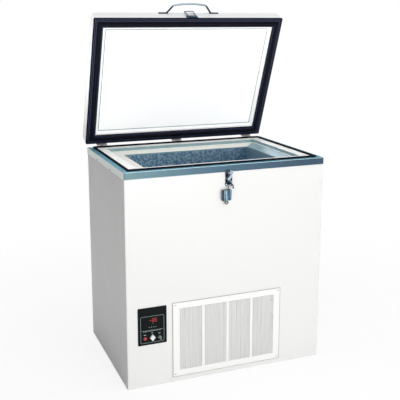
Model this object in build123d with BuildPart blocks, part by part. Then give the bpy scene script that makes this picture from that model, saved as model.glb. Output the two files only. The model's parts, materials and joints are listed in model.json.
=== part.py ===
from build123d import *
from math import cos, hypot, radians, sin
import os

os.makedirs("parts", exist_ok=True)

# Driving dimensions in millimetres and degrees.
# The origin is the centre of the footprint on the floor, the front faces -Y and +Z is up.
cabinet_width = 914.4
cabinet_depth = 635.0
cabinet_height = 940.0
wrapper_sheet = 1.5
wrapper_corner = 5.0
wrapper_return = 20.0
panel_fit = 0.3

# Pan-head screws
screw_head = 3.6
screw_head_height = 1.8
screw_head_sides = 8
screw_taper = 25.0
screw_shank = 1.8
screw_shank_sides = 6

# Stainless collar round the top
collar_sheet = 2.0
collar_skirt = 29.0
collar_fit = 0.5
collar_flange = 24.0
collar_corner = 6.0
collar_screw_lift = 5.0
collar_screw_front = 319.0
collar_screw_side = 115.0
collar_screw_back = 200.0

# Stepped throat, seal bead and tank
rim_width = 52.0
rim_sheet = 2.5
rim_step = 14.0
ledge_width = 8.0
slope_width = 55.0
slope_drop = 8.0
throat_lip = 4.0
mitre_gap = 0.2
bead_inset = 22.0
bead_width = 10.0
bead_height = 8.0
bead_shoulder = 3.0
tank_wall = 1.5
tank_floor = 500.0
tank_corner = 12.0
tank_flange = 20.0
coil_radius = 4.75
coil_turns = 4
coil_pitch = 110.0
coil_start = 530.0
coil_riser_x = 40.0
coil_riser_end = 350.0

# Machine compartment
deck_height = 370.0
deck_sheet = 2.0
pan_sheet = 2.0
pan_flange = 25.0
post_leg = 25.0
post_sheet = 2.0

# Vents and the mains inlet in the back panel
vent_rows = 9
vent_pitch = 16.0
vent_length = 150.0
vent_height = 5.0
vent_bottom = 150.0
vent_x = 190.0
back_screw_x = 447.0
back_screw_rows = 4
inlet_x = -330.0
inlet_z = 90.0
inlet_width = 48.0
inlet_height = 28.0
inlet_flange = 8.0
inlet_depth = 24.0
inlet_sheet = 3.0
pin_spread = 9.0
pin_width = 2.0
pin_height = 6.0

# Grille panel
grille_width = 508.0
grille_height = 335.0
grille_bottom = 24.0
grille_corner = 9.0
grille_proud = 3.0
grille_sheet = 1.5
grille_lap = 18.0
grille_screw_inset = 10.0
slot_columns = 4
slot_rows = 21
slot_field = 275.0
slot_field_bottom = 55.0
slot_column_width = 103.4
slot_column_gap = 10.3
slots_in_row = 5
slot_length = 16.0
slot_height = 4.5

# Control panel, measured from the plate's centre line and its lower edge
control_width = 127.0
control_height = 166.0
control_bottom = 191.0
control_x = -346.0
control_sheet = 2.0
control_corner = 3.0
control_lap = 8.0
control_box_depth = 80.0
control_box_sheet = 1.5
window_width = 66.0
window_height = 34.0
window_lift = 98.0
window_proud = 0.8
window_depth = 12.0
knob_lift = 31.0
knob_width = 26.0
knob_height = 33.0
knob_thickness = 7.0
knob_corner = 1.5
knob_taper = 12.0
knob_shaft = 3.0
lamp_lift = 30.0
lamp_x = -32.5
lamp_radius = 7.5
lamp_shank = 6.0
lamp_proud = 4.0
switch_x = 31.5
switch_lift = 29.0
switch_radius = 8.5
switch_proud = 3.5
plug_radius = 5.0
plug_length = 22.0
panel_key_width = 15.0
panel_key_length = 18.0
key_sheet = 2.2

# Lid, given as if it were closed
lid_width = 920.4
lid_length = 641.0
lid_open = 67.7
lid_gap = 16.0
lid_sheet = 1.5
lid_shell_height = 62.0
lid_return = 20.0
lid_corner = 6.0
lid_edge = 4.0
gasket_thickness = 8.0
gasket_width = 44.0
gasket_bulb_width = 11.0
gasket_bulb_shoulder = 3.0
seal_gap = 0.3
liner_sheet = 1.5
liner_depth = 12.0
liner_slope = 8.0
liner_strip = 8.0

# Hinges
hinge_axis_back = 7.0
hinge_axis_drop = 2.0
hinge_spacing = 383.0
hinge_width = 50.0
hinge_middle = 17.4
hinge_knuckle = 5.5
hinge_pin_radius = 2.5
hinge_pin_head = 1.5
hinge_leaf = 2.5
cabinet_leaf_height = 26.0
lid_leaf_height = 52.0
hinge_gap = 0.3
hinge_screw_x = 16.0
hinge_screw_lift = 8.0
hinge_screw_drop = 15.0
running_fit = 0.06

# Handle on the lid's front rim
handle_rod = 4.0
handle_base = 216.0
handle_top = 158.0
handle_reach = 48.0
handle_crown = 9.0
handle_crown_radius = 320.0
handle_bend = 24.0
handle_from_top = 9.0
handle_foot = 46.0
handle_foot_height = 12.0
handle_foot_sheet = 3.0
handle_foot_overlap = 6.0

# Latch base and lever on the cabinet, strike bracket and bail on the lid
latch_width = 33.0
latch_bottom = 850.0
latch_top = 910.5
latch_corner = 3.0
latch_sheet = 2.0
lever_width = 20.0
lever_length = 46.0
lever_sheet = 3.0
lever_boss = 5.0
lever_curl = 6.0
lever_pivot_z = 913.0
lever_pivot_reach = 9.0
latch_screw_x = 11.0
latch_screw_low = 6.0
latch_screw_high = 30.0
latch_ear = 2.5
latch_ear_gap = 0.4
latch_ear_radius = 4.5
latch_ear_root = 22.0
latch_pin_radius = 2.0
strike_width = 56.0
strike_height = 27.0
strike_sheet = 2.0
strike_lift = 9.0
strike_barrel = 4.5
strike_barrel_length = 24.0
strike_screw_x = 23.0
bail_radius = 2.0
bail_reach = 6.5
bail_base = 36.0
bail_end = 44.0
bail_bend = 4.5
bail_tail = 8.0
hook_forward = 10.0
hook_drop = 5.0
hook_slack = 0.8
hook_wall = 3.0
hook_lip = 2.5

# Padlock on the latch's eye
eye_sheet = 3.0
eye_x = 6.0
eye_reach = 12.5
eye_lift = 8.0
eye_radius = 7.5
eye_slack = 0.4
shackle_radius = 3.0
shackle_bow = 10.0
shackle_leg = 12.0
shackle_free = 9.5
shackle_depth = 30.0
socket_depth = 10.0
padlock_width = 42.0
padlock_height = 45.0
padlock_thickness = 19.0
padlock_corner = 6.0
padlock_layers = 9
layer_groove = 0.8
padlock_keyway = 4.1
padlock_key_blade = 7.0
padlock_key_depth = 14.0
padlock_key_bow = 18.0

# Condenser, fan, compressors and vessels
condenser_width = 430.0
condenser_height = 290.0
condenser_depth = 44.0
condenser_bottom = 30.0
condenser_setback = 20.0
condenser_fins = 21
fin_gap = 14.0
fin_cut = 8.0
end_sheet = 2.0
condenser_port = 30.0
shroud_depth = 17.5
shroud_sheet = 1.5
fan_z = 175.0
fan_tip = 108.0
fan_root = 20.0
fan_orifice = 118.0
fan_blades_count = 5
fan_tip_chord = 62.0
fan_root_chord = 36.0
fan_blade_angle = 28.0
fan_blade_sheet = 2.0
fan_hub = 27.0
fan_hub_length = 26.0
fan_setback = 18.0
fan_shaft = 4.0
motor_radius = 42.0
motor_length = 58.0
motor_plate = 3.0
bracket_post = 4.0
bracket_circle = 145.0
bracket_reach = 40.0
compressor_radius = 82.0
compressor_height = 195.0
compressor_wall = 5.0
compressor_dome = 40.0
compressor_y = 135.0
compressor_x = 60.0
compressor_spacing = 230.0
foot_plate = 3.0
foot_span = 170.0
mount_radius = 11.0
mount_height = 22.0
stub_radius = 7.0
stub_length = 10.0
stub_y = -25.0
suction_z = 60.0
vessel_radius = 58.0
vessel_height = 250.0
vessel_x = 345.0
exchanger_x = -205.0
exchanger_y = 150.0
exchanger_width = 100.0
exchanger_depth = 110.0
exchanger_height = 248.0
drier_radius = 16.0
drier_length = 100.0
drier_y = -10.0
drier_neck = 25.0
tube_bend = 20.0
pipe_high = 320.0
pipe_low = 300.0
pipe_side = 255.0

half_depth = cabinet_depth / 2
front_face = -half_depth
collar_out = collar_fit + collar_sheet
collar_front = front_face - collar_out
collar_back = half_depth + collar_out
wrapper_top = cabinet_height - collar_sheet


def level(height):
    """A horizontal plane at a height above the floor."""
    return Plane.XY.offset(height)


def front_plane(y):
    """A plane parallel to the front that looks forwards, with X to the right and its own Y up."""
    return Plane(origin=(0, y, 0), x_dir=(1, 0, 0), z_dir=(0, -1, 0))


def side_plane(x):
    """A plane parallel to the sides that looks right, with its own X towards the back and Y up."""
    return Plane(origin=(x, 0, 0), x_dir=(0, 1, 0), z_dir=(1, 0, 0))


def slab(inset, bottom, top, mode=Mode.ADD):
    """A rectangular block that follows the cabinet's outline at an inset."""
    with BuildSketch(level(bottom)) as outline:
        Rectangle(cabinet_width - 2 * inset, cabinet_depth - 2 * inset)
    extrude(outline.sketch, amount=top - bottom, mode=mode)


def rectangle_path(width, depth, height=0):
    """A closed rectangular path round the origin that starts at the middle of its front side."""
    x = width / 2
    y = depth / 2
    return Polyline(
        (0, -y, height), (x, -y, height), (x, y, height), (-x, y, height), (-x, -y, height), (0, -y, height)
    )


def screws(plane, points, shank_length):
    """Pan-head screws whose heads stand on the plane, with shanks that go in behind it."""
    with BuildSketch(plane) as heads:
        with Locations(*points):
            RegularPolygon(screw_head, screw_head_sides)
    extrude(heads.sketch, amount=screw_head_height, taper=screw_taper)
    with BuildSketch(plane) as shanks:
        with Locations(*points):
            RegularPolygon(screw_shank, screw_shank_sides)
    extrude(shanks.sketch, amount=-shank_length)


def cut_corners(points, cut):
    """A line of straight runs through the points, with every corner cut off by a short run."""
    runs = [Vector(*points[0])]
    for before, corner, after in zip(points, points[1:], points[2:]):
        here = Vector(*corner)
        runs.append(here + (Vector(*before) - here).normalized() * cut)
        runs.append(here + (Vector(*after) - here).normalized() * cut)
    runs.append(Vector(*points[-1]))
    return Polyline(*[tuple(point) for point in runs])


def back_plane(y):
    """A plane parallel to the back that looks backwards, with its own X towards the left and Y up."""
    return Plane(origin=(0, y, 0), x_dir=(-1, 0, 0), z_dir=(0, 1, 0))


# The lid's own frame: its coordinates are those of the closed lid, turned open about the hinge axis
hinge_y = collar_back + hinge_axis_back
hinge_z = cabinet_height - hinge_axis_drop
open_cos = cos(radians(lid_open))
open_sin = sin(radians(lid_open))
lid_frame = Plane(
    origin=(
        0,
        hinge_y - hinge_y * open_cos - hinge_z * open_sin,
        hinge_z + hinge_y * open_sin - hinge_z * open_cos,
    ),
    x_dir=(1, 0, 0),
    z_dir=(0, open_sin, open_cos),
)


def on_lid(plane):
    """The plane that a plane of the closed lid becomes when the lid is open."""
    return Plane(lid_frame.location * plane.location)


# Base pan, corner posts and the deck over the machine compartment
pan_inset = wrapper_sheet + panel_fit
back_return_face = half_depth - wrapper_sheet
back_panel_face = back_return_face - wrapper_sheet
room_depth = back_panel_face - front_face - wrapper_sheet - 2 * panel_fit
room_centre = (back_panel_face + front_face + wrapper_sheet) / 2
room_width = cabinet_width - 2 * pan_inset


def room_sketch(height, inset=0):
    """The plan of the space inside the wrapper and the back panel."""
    with BuildSketch(level(height)) as plan:
        with Locations((0, room_centre)):
            Rectangle(room_width - 2 * inset, room_depth - 2 * inset)
        fillet(plan.vertices(), wrapper_corner)
    return plan.sketch


with BuildPart() as base_pan:
    extrude(room_sketch(0), amount=pan_flange)
    extrude(room_sketch(pan_sheet, pan_sheet), amount=pan_flange, mode=Mode.SUBTRACT)
base_pan.part.label = "base_pan"
export_step(base_pan.part, "parts/base_pan.step")

post_x = room_width / 2 - wrapper_corner
post_y = room_depth / 2 - wrapper_corner
with BuildPart() as deck_posts:
    with BuildSketch(level(pan_sheet)):
        for side in (-1, 1):
            for end in (-1, 1):
                corner_y = room_centre + end * post_y
                with Locations((side * (post_x - post_leg / 2), corner_y - end * post_sheet / 2)):
                    Rectangle(post_leg, post_sheet)
                with Locations((side * (post_x - post_sheet / 2), corner_y - end * post_leg / 2)):
                    Rectangle(post_sheet, post_leg)
    extrude(amount=deck_height - deck_sheet - pan_sheet)
deck_posts.part.label = "deck_posts"
export_step(deck_posts.part, "parts/deck_posts.step")

rim_inner = collar_flange + panel_fit + rim_width
slope_outer = rim_inner + ledge_width
tank_inset = slope_outer + slope_width
coil_inset = tank_inset - panel_fit - coil_radius
coil_back = half_depth - coil_inset
with BuildPart() as compartment_deck:
    extrude(room_sketch(deck_height - deck_sheet), amount=deck_sheet)
    with Locations((coil_riser_x, coil_back, deck_height), (-coil_riser_x, coil_back, deck_height)):
        Hole(coil_radius + panel_fit)
compartment_deck.part.label = "compartment_deck"
export_step(compartment_deck.part, "parts/compartment_deck.step")

# Screws that hold the back panel behind the wrapper's returns
back_screw_pitch = wrapper_top / back_screw_rows
back_screw_points = []
for side in (-1, 1):
    for row in range(back_screw_rows):
        back_screw_points.append((side * back_screw_x, back_screw_pitch * (row + 0.5)))
with BuildPart() as back_panel_screws:
    screws(back_plane(half_depth), back_screw_points, 2 * wrapper_sheet)
back_panel_screws.part.label = "back_panel_screws"
export_step(back_panel_screws.part, "parts/back_panel_screws.step")

# Painted wrapper: front and sides in one sheet, with narrow returns at the back
control_z = control_bottom + control_height / 2
control_opening_width = control_width - 2 * control_lap
control_opening_height = control_height - 2 * control_lap
with BuildPart() as cabinet_wrapper:
    with BuildSketch():
        RectangleRounded(cabinet_width, cabinet_depth, wrapper_corner)
        RectangleRounded(
            cabinet_width - 2 * wrapper_sheet,
            cabinet_depth - 2 * wrapper_sheet,
            wrapper_corner - wrapper_sheet,
            mode=Mode.SUBTRACT,
        )
        with Locations((0, half_depth)):
            Rectangle(cabinet_width - 2 * wrapper_return, wrapper_return, mode=Mode.SUBTRACT)
    extrude(amount=wrapper_top)
    with BuildSketch(front_plane(front_face)):
        with Locations((0, grille_bottom + grille_height / 2)):
            Rectangle(grille_width - 2 * grille_lap, grille_height - 2 * grille_lap)
        with Locations((control_x, control_z)):
            Rectangle(control_opening_width, control_opening_height)
    extrude(amount=-wrapper_sheet, mode=Mode.SUBTRACT)
    add(back_panel_screws.part, mode=Mode.SUBTRACT)
cabinet_wrapper.part.label = "cabinet_wrapper"
export_step(cabinet_wrapper.part, "parts/cabinet_wrapper.step")

vent_field = (vent_rows - 1) * vent_pitch
with BuildPart() as back_panel:
    with BuildSketch(front_plane(back_return_face)):
        with Locations((0, wrapper_top / 2)):
            Rectangle(cabinet_width - 2 * wrapper_corner, wrapper_top)
        for side in (-1, 1):
            with Locations((side * vent_x, vent_bottom + vent_field / 2)):
                with GridLocations(vent_length, vent_pitch, 1, vent_rows):
                    Rectangle(vent_length, vent_height, mode=Mode.SUBTRACT)
        with Locations((inlet_x, inlet_z)):
            Rectangle(inlet_width, inlet_height, mode=Mode.SUBTRACT)
    extrude(amount=wrapper_sheet)
    add(back_panel_screws.part, mode=Mode.SUBTRACT)
back_panel.part.label = "back_panel"
export_step(back_panel.part, "parts/back_panel.step")

with BuildPart() as power_inlet:
    with BuildSketch(front_plane(back_return_face)):
        with Locations((inlet_x, inlet_z)):
            Rectangle(inlet_width + 2 * inlet_flange, inlet_height + inlet_flange)
    extrude(amount=-inlet_sheet)
    with BuildSketch(front_plane(back_return_face)):
        with Locations((inlet_x, inlet_z)):
            Rectangle(inlet_width - 2 * panel_fit, inlet_height - 2 * panel_fit)
    extrude(amount=inlet_depth)
    with BuildSketch(front_plane(back_return_face + inlet_sheet)):
        with Locations((inlet_x, inlet_z)):
            RectangleRounded(inlet_width - 4 * inlet_sheet, inlet_height - 3 * inlet_sheet, inlet_sheet)
    extrude(amount=inlet_depth, mode=Mode.SUBTRACT)
    with BuildSketch(front_plane(back_return_face - inlet_depth)):
        with Locations((inlet_x - pin_spread, inlet_z), (inlet_x, inlet_z), (inlet_x + pin_spread, inlet_z)):
            Rectangle(pin_width, pin_height)
    extrude(amount=-(inlet_depth - inlet_sheet))
power_inlet.part.label = "power_inlet"
export_step(power_inlet.part, "parts/power_inlet.step")

# Stainless collar
collar_width = cabinet_width + 2 * collar_out
collar_depth = cabinet_depth + 2 * collar_out
collar_bottom = cabinet_height - collar_skirt
collar_screw_z = collar_bottom + collar_screw_lift
collar_places = (
    (front_plane(collar_front), collar_screw_front),
    (back_plane(collar_back), collar_screw_back),
    (side_plane(collar_width / 2), collar_screw_side),
    (Plane(origin=(-collar_width / 2, 0, 0), x_dir=(0, -1, 0), z_dir=(-1, 0, 0)), collar_screw_side),
)
with BuildPart() as collar_screws:
    for place, reach in collar_places:
        screws(place, [(side * reach, collar_screw_z) for side in (-1, 1)], collar_sheet)
collar_screws.part.label = "collar_screws"
export_step(collar_screws.part, "parts/collar_screws.step")

with BuildPart() as top_collar:
    with BuildSketch(level(collar_bottom)):
        RectangleRounded(collar_width, collar_depth, collar_corner)
    extrude(amount=collar_skirt)
    with BuildSketch(level(collar_bottom)):
        RectangleRounded(
            collar_width - 2 * collar_sheet, collar_depth - 2 * collar_sheet, collar_corner - collar_sheet
        )
    extrude(amount=collar_skirt - collar_sheet, mode=Mode.SUBTRACT)
    slab(collar_flange, wrapper_top, cabinet_height, Mode.SUBTRACT)
    top_rim = top_collar.faces().sort_by(Axis.Z)[-1].outer_wire().edges()
    chamfer(top_rim, collar_sheet * 0.4)
    add(collar_screws.part, mode=Mode.SUBTRACT)
top_collar.part.label = "top_collar"
export_step(top_collar.part, "parts/top_collar.step")


# Stepped throat of four white plastic strips round the mouth of the chest, with mitred corners
rim_top = cabinet_height
ledge_z = rim_top - rim_step
slope_z = ledge_z - slope_drop
lip_z = slope_z - throat_lip
slope_shift = rim_sheet * hypot(slope_width, slope_drop) / slope_width
throat_points = (
    (collar_flange + panel_fit, rim_top),
    (rim_inner, rim_top),
    (rim_inner, ledge_z),
    (slope_outer, ledge_z),
    (tank_inset, slope_z),
    (tank_inset, lip_z),
    (tank_inset - rim_sheet, lip_z),
    (tank_inset - rim_sheet, slope_z - slope_shift + slope_drop * rim_sheet / slope_width),
    (slope_outer - rim_sheet * 0.2, ledge_z - rim_sheet),
    (rim_inner - rim_sheet, ledge_z - rim_sheet),
    (rim_inner - rim_sheet, rim_top - rim_sheet),
    (collar_flange + panel_fit, rim_top - rim_sheet),
)
with BuildPart() as rim_breaker:
    with BuildLine() as rim_path:
        rectangle_path(cabinet_width, cabinet_depth)
    with BuildSketch(side_plane(0)):
        with BuildLine():
            Polyline(*[(front_face + inset, z) for inset, z in throat_points], close=True)
        make_face()
    sweep(path=rim_path.line, transition=Transition.RIGHT)
    with BuildSketch(level(lip_z)) as mitres:
        for side in (-1, 1):
            for end in (-1, 1):
                mitre_x = side * (cabinet_width - tank_inset) / 2
                with Locations((mitre_x, end * (cabinet_depth - tank_inset) / 2)):
                    Rectangle(2 * tank_inset, mitre_gap, rotation=side * end * 45)
    extrude(mitres.sketch, amount=rim_top - lip_z, mode=Mode.SUBTRACT)
rim_breaker.part.label = "rim_breaker"
export_step(rim_breaker.part, "parts/rim_breaker.step")

bead_outer = front_face + bead_inset
bead_top = rim_top + bead_height
with BuildPart() as rim_bead:
    with BuildLine() as bead_path:
        rectangle_path(cabinet_width, cabinet_depth)
    with BuildSketch(side_plane(0)):
        with BuildLine():
            Polyline(
                (bead_outer, rim_top + bead_shoulder),
                (bead_outer, rim_top),
                (bead_outer + bead_width, rim_top),
                (bead_outer + bead_width, rim_top + bead_shoulder),
            )
            ThreePointArc(
                (bead_outer + bead_width, rim_top + bead_shoulder),
                (bead_outer + bead_width / 2, bead_top),
                (bead_outer, rim_top + bead_shoulder),
            )
        make_face()
    sweep(path=bead_path.line, transition=Transition.RIGHT)
rim_bead.part.label = "rim_bead"
export_step(rim_bead.part, "parts/rim_bead.step")

# Inner tank: walls with a flange under the throat's lip, and a bottom welded in between them
tank_width = cabinet_width - 2 * tank_inset
tank_depth = cabinet_depth - 2 * tank_inset


def tank_plan(grow, corner, mode=Mode.ADD):
    """The tank's rounded outline, grown or shrunk on every side."""
    RectangleRounded(tank_width + 2 * grow, tank_depth + 2 * grow, corner, mode=mode)


with BuildPart() as inner_tank:
    with BuildSketch(level(tank_floor)):
        tank_plan(0, tank_corner)
        tank_plan(-tank_wall, tank_corner - tank_wall, Mode.SUBTRACT)
    extrude(amount=lip_z - tank_floor)
    with BuildSketch(level(lip_z - tank_wall)):
        Rectangle(tank_width + 2 * tank_flange, tank_depth + 2 * tank_flange)
        tank_plan(-tank_wall, tank_corner - tank_wall, Mode.SUBTRACT)
    extrude(amount=tank_wall)
inner_tank.part.label = "inner_tank"
export_step(inner_tank.part, "parts/inner_tank.step")

with BuildPart() as tank_bottom:
    with BuildSketch(level(tank_floor)):
        tank_plan(-tank_wall, tank_corner - tank_wall)
    extrude(amount=tank_wall)
tank_bottom.part.label = "tank_bottom"
export_step(tank_bottom.part, "parts/tank_bottom.step")

# Evaporator: flattened copper rings round the tank, joined by two risers that go down through the deck
coil_top = coil_start + (coil_turns - 1) * coil_pitch
with BuildPart() as evaporator_coil:
    for turn in range(coil_turns):
        with BuildSketch(level(coil_start + turn * coil_pitch - coil_radius)) as ring:
            for inset, corner, mode in (
                (coil_inset - coil_radius, tank_corner, Mode.ADD),
                (coil_inset + coil_radius, tank_corner / 2, Mode.SUBTRACT),
            ):
                with BuildSketch(mode=mode) as outline:
                    Rectangle(cabinet_width - 2 * inset, cabinet_depth - 2 * inset)
                    chamfer(outline.vertices(), corner)
        extrude(ring.sketch, amount=2 * coil_radius)
    with BuildSketch(level(coil_riser_end)) as risers:
        with Locations((coil_riser_x, coil_back), (-coil_riser_x, coil_back)):
            Circle(coil_radius)
    extrude(risers.sketch, amount=coil_top - coil_riser_end)
evaporator_coil.part.label = "evaporator_coil"
export_step(evaporator_coil.part, "parts/evaporator_coil.step")

# Foam poured between the wrapper and the tank
foam_top = lip_z - tank_wall
foam_shoulder = rim_top - rim_sheet
foam_clear = coil_inset - coil_radius - panel_fit
with BuildPart() as foam_insulation:
    extrude(room_sketch(deck_height), amount=foam_top - deck_height)
    extrude(room_sketch(foam_top), amount=foam_shoulder - foam_top)
    slab(rim_inner - rim_sheet - panel_fit, foam_top, foam_shoulder, Mode.SUBTRACT)
    slab(foam_clear, tank_floor, foam_top, Mode.SUBTRACT)
    with BuildSketch(level(deck_height)) as riser_holes:
        with Locations((coil_riser_x, coil_back), (-coil_riser_x, coil_back)):
            Circle(coil_radius + panel_fit)
    extrude(riser_holes.sketch, amount=tank_floor - deck_height, mode=Mode.SUBTRACT)
foam_insulation.part.label = "foam_insulation"
export_step(foam_insulation.part, "parts/foam_insulation.step")

# Grille: a shallow painted pan with columns of staggered slots
column_step = slot_column_width + slot_column_gap
slot_pitch = (slot_column_width - slot_length) / (slots_in_row - 1)
row_pitch = slot_field / (slot_rows - 1)
field_middle = slot_field_bottom + slot_field / 2
field_height = slot_field + row_pitch
grille_centre = grille_bottom + grille_height / 2
grille_front = front_face - grille_proud
grille_screw_x = grille_width / 2 - grille_screw_inset
grille_screw_z = grille_height / 2 - grille_screw_inset
grille_screw_points = []
for side in (-1, 1):
    for end in (-1, 1):
        grille_screw_points.append((side * grille_screw_x, grille_centre + end * grille_screw_z))
with BuildPart() as grille_screws:
    screws(front_plane(grille_front), grille_screw_points, grille_proud)
grille_screws.part.label = "grille_screws"
export_step(grille_screws.part, "parts/grille_screws.step")

with BuildPart() as grille_panel:
    with BuildSketch(front_plane(front_face)):
        with Locations((0, grille_centre)):
            RectangleRounded(grille_width, grille_height, grille_corner)
    extrude(amount=grille_proud)
    with BuildSketch(front_plane(front_face)):
        with Locations((0, grille_centre)):
            RectangleRounded(
                grille_width - 2 * grille_sheet,
                grille_height - 2 * grille_sheet,
                grille_corner - grille_sheet,
            )
    extrude(amount=grille_proud - grille_sheet, mode=Mode.SUBTRACT)
    chamfer(grille_panel.faces().sort_by(Axis.Y)[0].edges(), grille_sheet / 2)
    with BuildSketch(front_plane(grille_front)) as field:
        with Locations((0, field_middle)):
            Rectangle(slot_columns * column_step, field_height)
    extrude(field.sketch, amount=-grille_sheet, mode=Mode.SUBTRACT)
    add(grille_screws.part, mode=Mode.SUBTRACT)
    for column in range(slot_columns):
        column_x = (column - (slot_columns - 1) / 2) * column_step
        with BuildSketch(front_plane(grille_front)) as perforated:
            with Locations((column_x, field_middle)):
                Rectangle(column_step, field_height)
                with GridLocations(slot_pitch, 2 * row_pitch, slots_in_row, slot_rows // 2 + 1):
                    Rectangle(slot_length, slot_height, mode=Mode.SUBTRACT)
                with GridLocations(slot_pitch, 2 * row_pitch, slots_in_row - 1, slot_rows // 2):
                    Rectangle(slot_length, slot_height, mode=Mode.SUBTRACT)
        extrude(perforated.sketch, amount=-grille_sheet, clean=False)
grille_panel.part.label = "grille_panel"
export_step(grille_panel.part, "parts/grille_panel.step")

# Control panel: a black plate over an opening, with a box behind it
plate_front = front_face - control_sheet
window_z = control_bottom + window_lift
knob_z = control_bottom + knob_lift
lamp_z = control_bottom + lamp_lift
switch_z = control_bottom + switch_lift
with BuildPart() as control_plate:
    with BuildSketch(front_plane(front_face)):
        with Locations((control_x, control_z)):
            RectangleRounded(control_width, control_height, control_corner)
        with Locations((control_x, window_z)):
            Rectangle(window_width, window_height, mode=Mode.SUBTRACT)
        with Locations((control_x, knob_z)):
            Circle(knob_shaft + running_fit, mode=Mode.SUBTRACT)
        with Locations((control_x + lamp_x, lamp_z)):
            Circle(lamp_shank, mode=Mode.SUBTRACT)
        with Locations((control_x + switch_x, switch_z)):
            Circle(switch_radius - 1, mode=Mode.SUBTRACT)
    extrude(amount=control_sheet)
control_plate.part.label = "control_plate"
export_step(control_plate.part, "parts/control_plate.step")

with BuildPart() as display_module:
    with BuildSketch(front_plane(plate_front + control_sheet + window_depth)):
        with Locations((control_x, window_z)):
            Rectangle(window_width, window_height)
    extrude(amount=window_depth + control_sheet + window_proud)
    front_edges = display_module.faces().sort_by(Axis.Y)[0].edges()
    chamfer(front_edges, window_proud / 2)
display_module.part.label = "display_module"
export_step(display_module.part, "parts/display_module.step")

with BuildPart() as alarm_lamp:
    with BuildSketch(front_plane(plate_front)):
        with Locations((control_x + lamp_x, lamp_z)):
            Circle(lamp_radius)
    extrude(amount=lamp_proud)
    chamfer(alarm_lamp.faces().sort_by(Axis.Y)[0].edges(), lamp_proud / 2)
    with BuildSketch(front_plane(plate_front)):
        with Locations((control_x + lamp_x, lamp_z)):
            Circle(lamp_shank)
    extrude(amount=-(control_sheet + window_depth))
alarm_lamp.part.label = "alarm_lamp"
export_step(alarm_lamp.part, "parts/alarm_lamp.step")

knob_back = plate_front - panel_fit
with BuildPart() as selector_knob:
    with BuildSketch(front_plane(knob_back)) as selector_outline:
        with Locations((control_x, knob_z)):
            Polygon(
                (0, knob_height / 2),
                (-knob_width / 2, 0),
                (0, -knob_height / 2),
                (knob_width / 2, 0),
                align=None,
            )
        fillet(selector_outline.vertices(), knob_corner)
    extrude(amount=knob_thickness, taper=knob_taper)
    with BuildSketch(front_plane(knob_back)):
        with Locations((control_x, knob_z)):
            Circle(knob_shaft)
    extrude(amount=-(control_sheet + panel_fit + window_depth))
selector_knob.part.label = "selector_knob"
export_step(selector_knob.part, "parts/selector_knob.step")

with BuildPart() as key_switch:
    with BuildSketch(front_plane(plate_front)):
        with Locations((control_x + switch_x, switch_z)):
            Circle(switch_radius)
    extrude(amount=switch_proud)
    chamfer(key_switch.faces().sort_by(Axis.Y)[0].edges(), 1)
    with BuildSketch(front_plane(plate_front)):
        with Locations((control_x + switch_x, switch_z)):
            Circle(switch_radius - 1)
    extrude(amount=-(control_sheet + plug_length))
    with BuildSketch(front_plane(plate_front - switch_proud)):
        with Locations((control_x + switch_x, switch_z)):
            Circle(plug_radius + running_fit)
    extrude(amount=-(switch_proud + plug_length), mode=Mode.SUBTRACT)
key_switch.part.label = "key_switch"
export_step(key_switch.part, "parts/key_switch.step")

plug_face = plate_front - switch_proud
with BuildPart() as switch_key:
    with BuildSketch(front_plane(plug_face)):
        with Locations((control_x + switch_x, switch_z)):
            Circle(plug_radius)
    extrude(amount=-plug_length)
    with BuildSketch(side_plane(control_x + switch_x)) as key_outline:
        with Locations((plug_face - panel_key_length / 4, switch_z)):
            Rectangle(panel_key_length / 2 + 2, plug_radius)
        with Locations((plug_face - panel_key_length * 0.6, switch_z)):
            Ellipse(panel_key_length * 0.4, panel_key_width / 2)
            Circle(2, mode=Mode.SUBTRACT)
    extrude(key_outline.sketch, amount=key_sheet / 2, both=True)
switch_key.part.label = "switch_key"
export_step(switch_key.part, "parts/switch_key.step")

box_front = front_face + wrapper_sheet
with BuildPart() as control_box:
    with BuildSketch(front_plane(box_front)):
        with Locations((control_x, control_z)):
            Rectangle(
                control_opening_width + 2 * control_box_sheet, control_opening_height + 2 * control_box_sheet
            )
    extrude(amount=-control_box_depth)
    with BuildSketch(front_plane(box_front)):
        with Locations((control_x, control_z)):
            Rectangle(control_opening_width, control_opening_height)
    extrude(amount=-(control_box_depth - control_box_sheet), mode=Mode.SUBTRACT)
control_box.part.label = "control_box"
export_step(control_box.part, "parts/control_box.step")

# Draw latch on the cabinet: a base with two ears and an eye, a pin and the lever
latch_face = front_face - latch_sheet
pivot_y = latch_face - lever_pivot_reach + latch_sheet
pivot_z = lever_pivot_z
eye_y = front_face - eye_reach
eye_z = latch_bottom + eye_lift
ear_inner = lever_width / 2 + latch_ear_gap
latch_screw_points = [
    (-latch_screw_x, latch_bottom + latch_screw_low),
    (-latch_screw_x, latch_top - latch_screw_high),
    (latch_screw_x, latch_top - latch_screw_high),
]
with BuildPart() as latch_screws:
    screws(front_plane(latch_face), latch_screw_points, latch_sheet)
latch_screws.part.label = "latch_screws"
export_step(latch_screws.part, "parts/latch_screws.step")

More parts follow.
